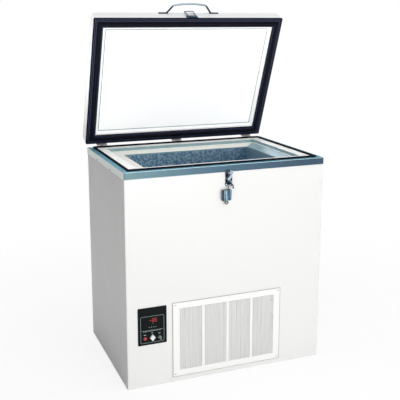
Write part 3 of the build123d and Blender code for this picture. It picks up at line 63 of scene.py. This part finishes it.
class Look:
    """A material of procedural nodes round one Principled shader."""

    def __init__(self, name, color, metallic=0.0, roughness=0.5, **sockets):
        self.material = bpy.data.materials.new(name)
        self.material.use_nodes = True
        self.tree = self.material.node_tree
        self.shader = self.tree.nodes["Principled BSDF"]
        self.shader.inputs["Base Color"].default_value = color
        self.shader.inputs["Metallic"].default_value = metallic
        self.shader.inputs["Roughness"].default_value = roughness
        for key, value in sockets.items():
            self.shader.inputs[key.replace("_", " ")].default_value = value
        self.color = color
        self.roughness = roughness
        self.height = None

    def add(self, kind, **values):
        made = self.tree.nodes.new(kind)
        for key, value in values.items():
            if hasattr(made, key):
                setattr(made, key, value)
            else:
                made.inputs[key.replace("_", " ")].default_value = value
        return made

    def place(self, scale=(1.0, 1.0, 1.0)):
        """The object's own coordinates, stretched."""
        coords = self.add("ShaderNodeTexCoord")
        mapping = self.add("ShaderNodeMapping")
        mapping.inputs["Scale"].default_value = scale
        self.tree.links.new(coords.outputs["Object"], mapping.inputs["Vector"])
        return mapping.outputs["Vector"]

    def noise(self, scale, detail=4.0, stretch=(1.0, 1.0, 1.0)):
        texture = self.add("ShaderNodeTexNoise", Scale=scale, Detail=detail)
        self.tree.links.new(self.place(stretch), texture.inputs["Vector"])
        return texture.outputs["Fac"]

    def cells(self, scale, feature="F1", stretch=(1.0, 1.0, 1.0)):
        texture = self.add("ShaderNodeTexVoronoi", feature=feature, Scale=scale)
        self.tree.links.new(self.place(stretch), texture.inputs["Vector"])
        return texture.outputs["Distance"]

    def spread(self, value, low, high, start=0.3, end=0.7):
        """The value remapped to run from low to high."""
        remap = self.add("ShaderNodeMapRange")
        for key, number in (("From Min", start), ("From Max", end), ("To Min", low), ("To Max", high)):
            remap.inputs[key].default_value = number
        self.tree.links.new(value, remap.inputs["Value"])
        return remap.outputs["Result"]

    def along(self, axis, source="Object"):
        """One component of the piece's own position, or of its surface's direction with Normal."""
        coords = self.add("ShaderNodeTexCoord")
        split = self.add("ShaderNodeSeparateXYZ")
        self.tree.links.new(coords.outputs[source], split.inputs["Vector"])
        return split.outputs[axis]

    def tint(self, value, other, start, end):
        """Blends the present base colour towards another one."""
        present = self.shader.inputs["Base Color"]
        mix = self.add("ShaderNodeMix", data_type="RGBA")
        if present.is_linked:
            self.tree.links.new(present.links[0].from_socket, mix.inputs[MIX_FIRST])
        else:
            mix.inputs[MIX_FIRST].default_value = self.color
        mix.inputs[MIX_SECOND].default_value = other
        self.tree.links.new(self.spread(value, 0.0, 1.0, start, end), mix.inputs[MIX_SHARE])
        self.tree.links.new(mix.outputs[MIX_RESULT], present)
        return self

    def vary_roughness(self, value, by):
        low = max(self.roughness - by, 0.02)
        self.tree.links.new(self.spread(value, low, self.roughness + by), self.shader.inputs["Roughness"])
        return self

    def bump(self, value, strength, distance):
        bump = self.add("ShaderNodeBump", Strength=strength, Distance=distance)
        self.tree.links.new(value, bump.inputs["Height"])
        if self.height:
            self.tree.links.new(self.height, bump.inputs["Normal"])
        self.height = bump.outputs["Normal"]
        self.tree.links.new(self.height, self.shader.inputs["Normal"])
        return self


def paint(name, color, roughness=0.32):
    look = Look(name, color, roughness=roughness, Coat_Weight=0.25, Coat_Roughness=0.15)
    look.vary_roughness(look.noise(9.0), 0.04)
    return look.bump(look.noise(900.0, 2.0), 0.03, 0.0002)


def plastic(name, color, roughness=0.4):
    look = Look(name, color, roughness=roughness)
    look.vary_roughness(look.noise(14.0), 0.05)
    return look.bump(look.noise(1400.0, 2.0), 0.04, 0.0001)


def brushed(name, color, roughness=0.28, stretch=(1.0, 60.0, 60.0)):
    look = Look(name, color, metallic=1.0, roughness=roughness)
    grain = look.noise(40.0, 6.0, stretch)
    look.vary_roughness(grain, 0.07)
    return look.bump(grain, 0.05, 0.0002)


def bright(name, color, roughness=0.12):
    look = Look(name, color, metallic=1.0, roughness=roughness)
    return look.vary_roughness(look.noise(60.0), 0.04)


looks = {
    "cabinet_paint": paint("cabinet_enamel", srgb(204, 204, 203)),
    "grille_paint": paint("grille_enamel", srgb(212, 212, 211)),
    # The teal in the collar steel's base colour is a painted reflection
    "collar_steel": brushed("collar_metal", srgb(80, 106, 112), 0.45),
    "rim_plastic": plastic("throat_plastic", srgb(253, 253, 252), 0.35),
    "liner_plastic": plastic("liner_plastic", srgb(254, 254, 254), 0.45),
    "seal_rubber": plastic("gasket_rubber", srgb(11, 12, 24), 0.6),
    "foam": plastic("urethane_foam", srgb(226, 214, 168), 0.9),
    "foam_block": plastic("foam_wrap", srgb(40, 40, 42), 0.9),
    "copper": bright("copper_tube", srgb(205, 130, 96), 0.25),
    "screw_steel": bright("plated_screws", srgb(196, 198, 202), 0.22),
    "key_steel": brushed("key_metal", srgb(176, 176, 170), 0.3),
    "latch_chrome": bright("latch_chrome", srgb(150, 160, 168), 0.16),
    "padlock_steel": brushed("padlock_plates", srgb(44, 62, 78), 0.35, (30.0, 30.0, 1.0)),
    "plate_black": plastic("plate_black", srgb(9, 14, 15), 0.6),
    "black_plastic": plastic("black_plastic", srgb(30, 30, 30), 0.5),
    "display": plastic("display_window", srgb(10, 16, 16), 0.3),
    "lamp_red": plastic("lamp_lens", srgb(150, 52, 58), 0.25),
    "knob_silver": plastic("knob_face", srgb(204, 200, 204), 0.35),
    "galvanised": bright("galvanised_sheet", srgb(150, 154, 158), 0.4),
    "machine_black": paint("machine_enamel", srgb(32, 32, 34), 0.45),
    "fin_aluminium": brushed("fin_metal", srgb(188, 190, 192), 0.35),
}
# Painted reflections: the latch chrome gets dark painted patches and the padlock pale painted streaks,
# standing for the room mirrored in them
latch = looks["latch_chrome"]
latch.tint(latch.noise(75.0, 2.0), srgb(26, 40, 58), 0.42, 0.56)
padlock = looks["padlock_steel"]
reflection_streaks = padlock.noise(26.0, 2.0, (9.0, 9.0, 0.6))
padlock.tint(reflection_streaks, srgb(140, 164, 176), 0.48, 0.62)

# The embossed tank is mottled; painted shade darkens it towards the right, and its faces turned to the
# left are painted paler
tank = Look("embossed_tank", srgb(178, 208, 220), metallic=0.5, roughness=0.45)
tank.tint(tank.noise(80.0, 8.0), srgb(102, 140, 166), 0.40, 0.58)
tank.tint(tank.along("X"), srgb(84, 112, 146), -0.30, 0.95)
tank.tint(tank.along("X", "Normal"), srgb(176, 204, 216), -0.4, -1.5)
tank.bump(tank.cells(260.0, "SMOOTH_F1"), 0.35, 0.0012)
looks["tank_metal"] = tank

# The throat's slope is cream; painted shade turns its upright step and the slope on the right, which faces
# left, a cool grey
throat = looks["rim_plastic"]
throat.tint(throat.along("Z", "Normal"), srgb(240, 238, 230), 0.999, 0.992)
throat.tint(throat.along("X", "Normal"), srgb(140, 170, 180), -0.03, -0.08)
throat.tint(throat.along("Z", "Normal"), srgb(150, 178, 184), 0.8, 0.3)

# Painted reflections on the collar: its front darkens to the right, its left skirt is painted pale and its
# top teal
collar = looks["collar_steel"]
collar.shader.inputs["Metallic"].default_value = 0.55
collar.tint(collar.along("X"), srgb(54, 80, 96), -0.45, -0.1)
collar.tint(collar.along("X"), srgb(42, 64, 82), -0.1, 0.35)
collar.tint(collar.along("X", "Normal"), srgb(250, 255, 252), -0.5, -0.9)
collar.tint(collar.along("Z", "Normal"), srgb(215, 236, 240), 0.5, 0.6)
collar.tint(collar.along("Z", "Normal"), srgb(84, 150, 168), 0.85, 0.95)

# Deep blacks keep little of a mirror's shine
for name in ("plate_black", "display", "seal_rubber"):
    looks[name].shader.inputs["Specular IOR Level"].default_value = 0.08

for part in frame["record"]["subparts"]:
    piece = nodes[part["node"]]
    piece.data.materials.clear()
    piece.data.materials.append(looks[part["material_slot"]].material)


def own_look(look, *names):
    """Gives nodes a look of their own in place of their slot's."""
    for name in names:
        nodes[name].data.materials[0] = look.material


own_look(plastic("hinge_metal", srgb(172, 160, 160), 0.3), "hinge_cabinet_leaves", "hinge_lid_leaves")
own_look(bright("strike_metal", srgb(58, 74, 90), 0.25), "strike_bail", "strike_bracket")
own_look(bright("collar_screw_metal", srgb(96, 104, 106), 0.4), "collar_screws")
own_look(bright("padlock_key_metal", srgb(96, 98, 92), 0.4), "padlock_key")
own_look(bright("switch_ring", srgb(84, 96, 92), 0.35), "key_switch")
own_look(bright("switch_key_metal", srgb(150, 164, 158), 0.35), "switch_key")

# Painted light: the lid's enamel is a lighter copy of the cabinet's and its left side is painted palest;
# the handle's dark base is a painted reflection and its bar a lighter painted highlight
lid_look = paint("lid_enamel", srgb(219, 219, 218))
lid_look.tint(lid_look.along("X", "Normal"), srgb(255, 255, 254), -0.5, -0.9)
own_look(lid_look, "lid_shell")
handle = bright("handle_metal", srgb(36, 46, 66), 0.3)
handle_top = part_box("lid_handle")[1].z / MM
handle.tint(handle.along("Z"), srgb(124, 142, 150), (handle_top - 18.0) * MM, (handle_top - 13.0) * MM)
own_look(handle, "lid_handle")


def new_piece(name, mesh_maker, look, body):
    """A new piece from a bmesh, riding on a body of the frame."""
    mesh = bpy.data.meshes.new(name)
    shape = bmesh.new()
    mesh_maker(shape)
    shape.to_mesh(mesh)
    shape.free()
    piece = bpy.data.objects.new(name, mesh)
    bpy.context.scene.collection.objects.link(piece)
    mesh.materials.append(look.material)
    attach(piece, body)
    return piece


def plate(shape, x, z, width, height, front, thickness):
    """A thin block on the front, centred at x and z, all in millimetres."""
    made = bmesh.ops.create_cube(shape, size=1.0)["verts"]
    bmesh.ops.scale(shape, vec=(width * MM, thickness * MM, height * MM), verts=made)
    bmesh.ops.translate(shape, vec=(x * MM, (front - thickness / 2) * MM, z * MM), verts=made)


# Print on the control plate, placed from the plate's left and lower edges
plate_low, plate_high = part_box("control_plate")
LEFT = plate_low.x / MM
BOTTOM = plate_low.z / MM
FACE = plate_low.y / MM
WIDTH = (plate_high.x - plate_low.x) / MM
ink_white = Look("ink_white", srgb(150, 168, 164), roughness=0.5)
ink_grey = Look("ink_grey", srgb(96, 108, 108), roughness=0.5)
INK = 0.12


def ring(shape, corners, stroke, front, depth):
    """A closed flat frame through corner points given in X and Z, standing on a front plane."""
    loops = []
    for grow, y in ((0.0, front), (0.0, front - depth), (1.0, front - depth), (1.0, front)):
        loop = []
        for x, z, toward_x, toward_z in corners:
            inward = grow * stroke
            place = (x + toward_x * inward, y, z + toward_z * inward)
            loop.append(shape.verts.new([v * MM for v in place]))
        loops.append(loop)
    count = len(corners)
    for k in range(4):
        here, there = loops[k], loops[(k + 1) % 4]
        for i in range(count):
            j = (i + 1) % count
            shape.faces.new((here[i], here[j], there[j], there[i]))


def outline(shape):
    """The rounded line round the controls."""
    left, right = LEFT + 11.0, LEFT + WIDTH - 11.0
    low, high, corner = BOTTOM + 9.0, BOTTOM + 128.0, 7.0
    corners = []
    for cx, cz, start in (
        (right - corner, high - corner, 0),
        (left + corner, high - corner, 90),
        (left + corner, low + corner, 180),
        (right - corner, low + corner, 270),
    ):
        for step in range(7):
            turn = math.radians(start + 15 * step)
            across, up = math.cos(turn), math.sin(turn)
            corners.append((cx + corner * across, cz + corner * up, -across, -up))
    ring(shape, corners, 2.0, FACE, INK)


new_piece("panel_outline", outline, ink_grey, "cabinet")


def marks(shape):
    """Short bars that stand for the small print."""
    for x in (51.0, 60.0, 70.0, 79.0):
        plate(shape, LEFT + x, BOTTOM + 78.0, 3.4, 2.4, FACE, INK)
    plate(shape, LEFT + WIDTH / 2, BOTTOM + 64.5, WIDTH - 26.0, 0.8, FACE, INK)
    for step in range(13):
        plate(shape, LEFT + 25.0 + 6.2 * step, BOTTOM + 61.5, 3.6, 2.2, FACE, INK)
    for x, z, width in ((30.0, 46.0, 10.0), (62.0, 52.5, 7.0), (95.0, 46.5, 9.0)):
        plate(shape, LEFT + x, BOTTOM + z, width, 2.6, FACE, INK)


new_piece("panel_marks", marks, ink_white, "cabinet")

# Grille panel with the full number of small staggered slots in four fields
grille_low, grille_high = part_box("grille_panel")
GRILLE_LEFT, GRILLE_RIGHT = grille_low.x / MM, grille_high.x / MM
GRILLE_BOTTOM, GRILLE_TOP = grille_low.z / MM, grille_high.z / MM
GRILLE_FRONT, GRILLE_BACK = grille_low.y / MM, grille_high.y / MM
FIELD_WIDTH, FIELD_GAP, FIELD_COUNT = 109.0, 5.5, 4
FIELD_BOTTOM, FIELD_TOP = 52.0, 333.0
SLOT_ROWS, SLOT_ACROSS = 60, 5
SLOT_LONG, SLOT_HIGH, SLOT_DEEP = 15.4, 2.2, 1.5
RIM_BEND = 1.0
SEAM_WIDE, SEAM_SUNK = 2.2, 0.6


def grille(shape):
    """The whole panel as one sheet of quads with a bent edge."""
    def quad(points):
        shape.faces.new([shape.verts.new((x * MM, y * MM, z * MM)) for x, y, z in points])

    def sheet(left, right, bottom, top):
        """A piece of the sheet's front, facing forwards."""
        front = GRILLE_FRONT
        quad(((left, front, bottom), (right, front, bottom), (right, front, top), (left, front, top)))

    def slot(left, right, bottom, top):
        """The four inner walls of one slot."""
        front, back = GRILLE_FRONT, GRILLE_FRONT + SLOT_DEEP
        quad(((left, front, bottom), (left, back, bottom), (right, back, bottom), (right, front, bottom)))
        quad(((left, front, top), (right, front, top), (right, back, top), (left, back, top)))
        quad(((left, front, bottom), (left, front, top), (left, back, top), (left, back, bottom)))
        quad(((right, front, bottom), (right, back, bottom), (right, back, top), (right, front, top)))

    def row_of_slots(left, cell, shifted):
        """Starts and ends of one row; a shifted row has a short slot at each end."""
        half_web = (cell - SLOT_LONG) / 2
        shift = cell / 2 if shifted else 0.0
        starts = [left + k * cell + half_web + shift for k in range(SLOT_ACROSS - shifted)]
        spans = [(start, start + SLOT_LONG) for start in starts]
        if shifted:
            right = left + FIELD_WIDTH
            spans.insert(0, (left + half_web, starts[0] - 2 * half_web))
            spans.append((starts[-1] + SLOT_LONG + 2 * half_web, right - half_web))
        return spans

    step = FIELD_WIDTH + FIELD_GAP
    first = (GRILLE_LEFT + GRILLE_RIGHT) / 2 - (FIELD_COUNT - 1) * step / 2 - FIELD_WIDTH / 2
    row_high = (FIELD_TOP - FIELD_BOTTOM) / SLOT_ROWS
    cell = FIELD_WIDTH / SLOT_ACROSS
    for field in range(FIELD_COUNT):
        left = first + field * step
        for row in range(SLOT_ROWS):
            bottom = FIELD_BOTTOM + row * row_high
            top = bottom + row_high
            low = bottom + (row_high - SLOT_HIGH) / 2
            high = low + SLOT_HIGH
            slots = row_of_slots(left, cell, row % 2)
            sheet(left, left + FIELD_WIDTH, bottom, low)
            sheet(left, left + FIELD_WIDTH, high, top)
            edge = left
            for start, end in slots:
                sheet(edge, start, low, high)
                slot(start, end, low, high)
                edge = end
            sheet(edge, left + FIELD_WIDTH, low, high)
    # The plain sheet round and between the fields
    edges = [GRILLE_LEFT + RIM_BEND]
    for field in range(FIELD_COUNT):
        edges += [first + field * step, first + field * step + FIELD_WIDTH]
    edges.append(GRILLE_RIGHT - RIM_BEND)
    for k in range(0, len(edges), 2):
        sheet(edges[k], edges[k + 1], FIELD_BOTTOM, FIELD_TOP)
    sheet(edges[0], edges[-1], GRILLE_BOTTOM + RIM_BEND, FIELD_BOTTOM)
    sheet(edges[0], edges[-1], FIELD_TOP, GRILLE_TOP - RIM_BEND)
    # Bevelled edge and the sides that stand on the cabinet
    outer, inner = [], []
    for x, z in (
        (GRILLE_LEFT, GRILLE_BOTTOM), (GRILLE_RIGHT, GRILLE_BOTTOM),
        (GRILLE_RIGHT, GRILLE_TOP), (GRILLE_LEFT, GRILLE_TOP),
    ):
        toward_x = RIM_BEND if x == GRILLE_LEFT else -RIM_BEND
        toward_z = RIM_BEND if z == GRILLE_BOTTOM else -RIM_BEND
        outer.append((x, z))
        inner.append((x + toward_x, z + toward_z))
    for k in range(4):
        n = (k + 1) % 4
        (ax, az), (bx, bz) = outer[k], outer[n]
        (cx, cz), (dx, dz) = inner[n], inner[k]
        bend = GRILLE_FRONT + RIM_BEND
        quad(((ax, bend, az), (bx, bend, bz), (cx, GRILLE_FRONT, cz), (dx, GRILLE_FRONT, dz)))
        quad(((ax, GRILLE_BACK, az), (bx, GRILLE_BACK, bz), (bx, bend, bz), (ax, bend, az)))
    bmesh.ops.remove_doubles(shape, verts=shape.verts[:], dist=0.00001)


fine_grille = new_piece("grille_perforated", grille, looks["grille_paint"], "cabinet")
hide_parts("grille_panel")


def grille_seam(shape):
    """A thin dull line where the panel meets the cabinet."""
    left, right, low, high = GRILLE_LEFT, GRILLE_RIGHT, GRILLE_BOTTOM, GRILLE_TOP
    corners = ((left, low, -1, -1), (right, low, 1, -1), (right, high, 1, 1), (left, high, -1, 1))
    ring(shape, corners, SEAM_WIDE, GRILLE_BACK, GRILLE_BACK - GRILLE_FRONT - SEAM_SUNK)


seam_line_look = plastic("grille_seam_line", srgb(158, 155, 148), 0.6)
new_piece("grille_seam", grille_seam, seam_line_look, "cabinet")

# Ribs on the gasket, coloured lighter than the rubber as a painted highlight, and a fine grey bead round
# the liner's dish as a painted shadow line of its step, laid out on the closed lid and turned open
pins_low, pins_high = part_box("hinge_pins")
HINGE_Y = (pins_low.y + pins_high.y) / 2
HINGE_Z = (pins_low.z + pins_high.z) / 2
LID_ANGLE = -67.7
LID_OPEN = Matrix.Rotation(math.radians(LID_ANGLE), 4, "X")
HINGE = Matrix.Translation((0.0, HINGE_Y, HINGE_Z))
OPENED = HINGE @ LID_OPEN @ HINGE.inverted()
LID_WIDE, LID_DEEP = 920.4, 641.0
GASKET_FACE = 956.0
DISH_FLOOR = 976.0
RIBS = ((5.0, 3.0), (12.0, 3.0), (34.0, 3.0), (39.5, 2.5))
RIB_PROUD = 0.9
BEAD_INSET, BEAD_WIDE, BEAD_PROUD = 59.5, 3.4, 0.8


def lid_strip(shape, inset, wide, face, proud):
    """A closed rectangular strip on the lid's underside, inset from its outline."""
    loops = []
    for grow, drop in ((0.0, 0.0), (0.15, 1.0), (0.85, 1.0), (1.0, 0.0)):
        x = LID_WIDE / 2 - inset - grow * wide
        y = LID_DEEP / 2 - inset - grow * wide
        z = face - drop * proud
        loops.append([
            shape.verts.new(OPENED @ Vector((sx * x * MM, sy * y * MM, z * MM)))
            for sx, sy in ((-1, -1), (1, -1), (1, 1), (-1, 1))
        ])
    for here, there in zip(loops, loops[1:]):
        for k in range(4):
            n = (k + 1) % 4
            shape.faces.new((here[k], here[n], there[n], there[k]))
    bmesh.ops.recalc_face_normals(shape, faces=shape.faces[:])


def gasket_ribs(shape):
    for inset, wide in RIBS:
        lid_strip(shape, inset, wide, GASKET_FACE, RIB_PROUD)


def liner_bead(shape):
    lid_strip(shape, BEAD_INSET, BEAD_WIDE, DISH_FLOOR, BEAD_PROUD)


# The ribs' lighter navy is a painted highlight on the black rubber
rib_highlight_look = plastic("gasket_rib", srgb(38, 46, 74), 0.5)
new_piece("gasket_ribs", gasket_ribs, rib_highlight_look, "lid")
# The bead's grey is a painted shadow line where the dish steps
bead_shade_look = plastic("liner_bead", srgb(120, 138, 142), 0.6)
new_piece("liner_bead", liner_bead, bead_shade_look, "lid")

# Lit digits and the small green lamp behind the display window
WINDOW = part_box("display_module")[0].y / MM
WINDOW_MIDDLE = LEFT + 67.0
DIGIT_ROW, LAMP_ROW = BOTTOM + 109.0, BOTTOM + 95.0
LAMP_RADIUS, LAMP_SUNK = 1.8, 0.6
DIGIT_LEAN, DIGIT_FILL, DIGIT_THICK = 0.12, 0.92, 0.15
DIGITS = {"-": "g", "8": "abcdefg", "6": "acdefg"}


def shining(name, color, light, strength):
    """A lit mark's look: its own colour and a little light."""
    return Look(name, color, roughness=0.4, Emission_Color=light, Emission_Strength=strength)


glow_red = shining("digit_red", srgb(120, 20, 22), srgb(205, 52, 52), 0.7)
glow_green = shining("lamp_green", srgb(20, 70, 34), srgb(70, 150, 80), 0.4)


def digits(shape):
    high, wide, stroke, gap = 15.0, 8.2, 1.6, 12.6
    bars = {
        "a": (0, high / 2, wide, stroke), "g": (0, 0, wide, stroke), "d": (0, -high / 2, wide, stroke),
        "f": (-wide / 2, high / 4, stroke, high / 2), "b": (wide / 2, high / 4, stroke, high / 2),
        "e": (-wide / 2, -high / 4, stroke, high / 2), "c": (wide / 2, -high / 4, stroke, high / 2),
    }
    for index, sign in enumerate("-86"):
        x = WINDOW_MIDDLE + (index - 1) * gap
        for key in DIGITS[sign]:
            dx, dz, w, h = bars[key]
            across, up = w * DIGIT_FILL, h * DIGIT_FILL
            plate(shape, x + dx + dz * DIGIT_LEAN, DIGIT_ROW + dz, across, up, WINDOW, DIGIT_THICK)


new_piece("display_digits", digits, glow_red, "cabinet")


def small_lamp(shape):
    made = bmesh.ops.create_uvsphere(shape, u_segments=24, v_segments=12, radius=LAMP_RADIUS * MM)["verts"]
    place = (WINDOW_MIDDLE * MM, (WINDOW + LAMP_SUNK) * MM, LAMP_ROW * MM)
    bmesh.ops.translate(shape, vec=place, verts=made)


lamp = new_piece("run_lamp", small_lamp, glow_green, "cabinet")
for face in lamp.data.polygons:
    face.use_smooth = True

# Floor and lights
scene = bpy.context.scene
scene.view_settings.view_transform = "Standard"
FLOOR_GLOW = 0.84
FLOOR_REACH = 14.0
FADE_START, FADE_END = 0.9, 2.2


def floor_look():
    """A pale floor that keeps a soft shadow near the object and runs out into plain white."""
    look = Look("floor_white", srgb(244, 244, 243), roughness=0.9)
    link = look.tree.links.new
    glow = look.add("ShaderNodeEmission")
    glow.inputs["Color"].default_value = (1.0, 1.0, 1.0, 1.0)
    glow.inputs["Strength"].default_value = 1.0
    place = look.add("ShaderNodeNewGeometry")
    reach = look.add("ShaderNodeVectorMath", operation="LENGTH")
    link(place.outputs["Position"], reach.inputs[0])
    far = look.spread(reach.outputs["Value"], FLOOR_GLOW, 1.0, FADE_START, FADE_END)
    rays = look.add("ShaderNodeLightPath")
    share = look.add("ShaderNodeMath", operation="MULTIPLY")
    link(far, share.inputs[0])
    link(rays.outputs["Is Camera Ray"], share.inputs[1])
    mix = look.add("ShaderNodeMixShader")
    link(share.outputs[0], mix.inputs["Fac"])
    link(look.shader.outputs["BSDF"], mix.inputs[1])
    link(glow.outputs["Emission"], mix.inputs[2])
    link(mix.outputs["Shader"], look.tree.nodes["Material Output"].inputs["Surface"])
    return look


def stage_plane():
    mesh = bpy.data.meshes.new("floor")
    shape = bmesh.new()
    bmesh.ops.create_grid(shape, x_segments=1, y_segments=1, size=FLOOR_REACH)
    shape.to_mesh(mesh)
    shape.free()
    floor = bpy.data.objects.new("floor", mesh)
    scene.collection.objects.link(floor)
    mesh.materials.append(floor_look().material)


stage_plane()


def area_light(name, place, aim, size, power, spread=180.0):
    """A rectangular light at a place, turned towards its aim."""
    lamp = bpy.data.lights.new(name, "AREA")
    lamp.shape = "RECTANGLE"
    lamp.size, lamp.size_y = size
    lamp.energy = power
    lamp.spread = math.radians(spread)
    light = bpy.data.objects.new(name, lamp)
    light.location = place
    light.rotation_euler = (Vector(aim) - Vector(place)).to_track_quat("-Z", "Y").to_euler()
    scene.collection.objects.link(light)


area_light("key", (1.9, -4.9, 1.4), (0.0, 0.0, 0.9), (3.0, 2.6), 89.0)
area_light("low_fill", (-0.3, -3.4, 0.75), (0.0, 0.3, 1.3), (2.4, 0.5), 54.0)
area_light("top", (0.2, -0.6, 4.4), (0.0, 0.0, 0.8), (3.0, 3.0), 70.0)
area_light("rear", (0.9, 4.6, 2.0), (0.0, 0.2, 0.8), (3.0, 2.6), 60.0)
# A narrow beam that lights only the lid's left side
area_light("lid_side", (-2.7, 0.3, 1.05), (-0.45, 0.3, 1.4), (0.5, 0.5), 1.0, spread=20.0)

# A white backdrop for the camera, and soft ambient light that grows to the right
world = bpy.data.worlds.new("studio")
world.use_nodes = True
scene.world = world
links = world.node_tree.links
make = world.node_tree.nodes.new
ambient = world.node_tree.nodes["Background"]
ambient.inputs["Color"].default_value = (0.99, 0.995, 1.0, 1.0)
white = make("ShaderNodeBackground")
white.inputs["Color"].default_value = (1.0, 1.0, 1.0, 1.0)
white.inputs["Strength"].default_value = 1.0
# What polished metal mirrors: a bright ceiling over a dark lower room
room = make("ShaderNodeBackground")
ramp = make("ShaderNodeValToRGB")
stops = ramp.color_ramp.elements
stops[0].position, stops[0].color = 0.0, (0.30, 0.32, 0.35, 1.0)
stops[1].position, stops[1].color = 1.0, (0.95, 0.97, 1.0, 1.0)
for position, level in ((0.40, 0.10), (0.52, 0.06), (0.60, 0.16), (0.72, 0.85)):
    stop = stops.new(position)
    stop.color = (level * 0.92, level, level * 1.08, 1.0)
direction = make("ShaderNodeTexCoord")
split = make("ShaderNodeSeparateXYZ")
height = make("ShaderNodeMapRange")
height.inputs["From Min"].default_value = -1.0
links.new(direction.outputs["Generated"], split.inputs["Vector"])
links.new(split.outputs["Z"], height.inputs["Value"])
side = make("ShaderNodeMapRange")
for key, number in (("From Min", -1.0), ("From Max", 1.0), ("To Min", 0.29), ("To Max", 0.50)):
    side.inputs[key].default_value = number
links.new(split.outputs["X"], side.inputs["Value"])
links.new(side.outputs["Result"], ambient.inputs["Strength"])
links.new(height.outputs["Result"], ramp.inputs["Fac"])
links.new(ramp.outputs["Color"], room.inputs["Color"])
rays = make("ShaderNodeLightPath")
mirrored = make("ShaderNodeMixShader")
choice = make("ShaderNodeMixShader")
links.new(rays.outputs["Is Glossy Ray"], mirrored.inputs["Fac"])
links.new(ambient.outputs["Background"], mirrored.inputs[1])
links.new(room.outputs["Background"], mirrored.inputs[2])
links.new(rays.outputs["Is Camera Ray"], choice.inputs["Fac"])
links.new(mirrored.outputs["Shader"], choice.inputs[1])
links.new(white.outputs["Background"], choice.inputs[2])
links.new(choice.outputs["Shader"], world.node_tree.nodes["World Output"].inputs["Surface"])

# Camera fitted to the photograph's corners, in radians, metres and pixels
YAW, PITCH = 0.3748, 0.1967
CAMERA_PLACE = (-1.2109, -3.0657, 1.5414)
SENSOR_WIDE = 36.0
IMAGE_PIXELS, FOCAL_PIXELS = 400.0, 727.8
MIDDLE_ROW, AXIS_ROW = 200.0, 164.0
camera_data = bpy.data.cameras.new("camera")
camera = bpy.data.objects.new("camera", camera_data)
scene.collection.objects.link(camera)
scene.camera = camera
camera.location = CAMERA_PLACE
ahead = Vector((math.sin(YAW) * math.cos(PITCH), math.cos(YAW) * math.cos(PITCH), -math.sin(PITCH)))
camera.rotation_euler = ahead.to_track_quat("-Z", "Y").to_euler()
camera_data.sensor_width = SENSOR_WIDE
camera_data.lens = SENSOR_WIDE * FOCAL_PIXELS / IMAGE_PIXELS
camera_data.shift_y = -(MIDDLE_ROW - AXIS_ROW) / IMAGE_PIXELS
camera_data.clip_end = 60.0
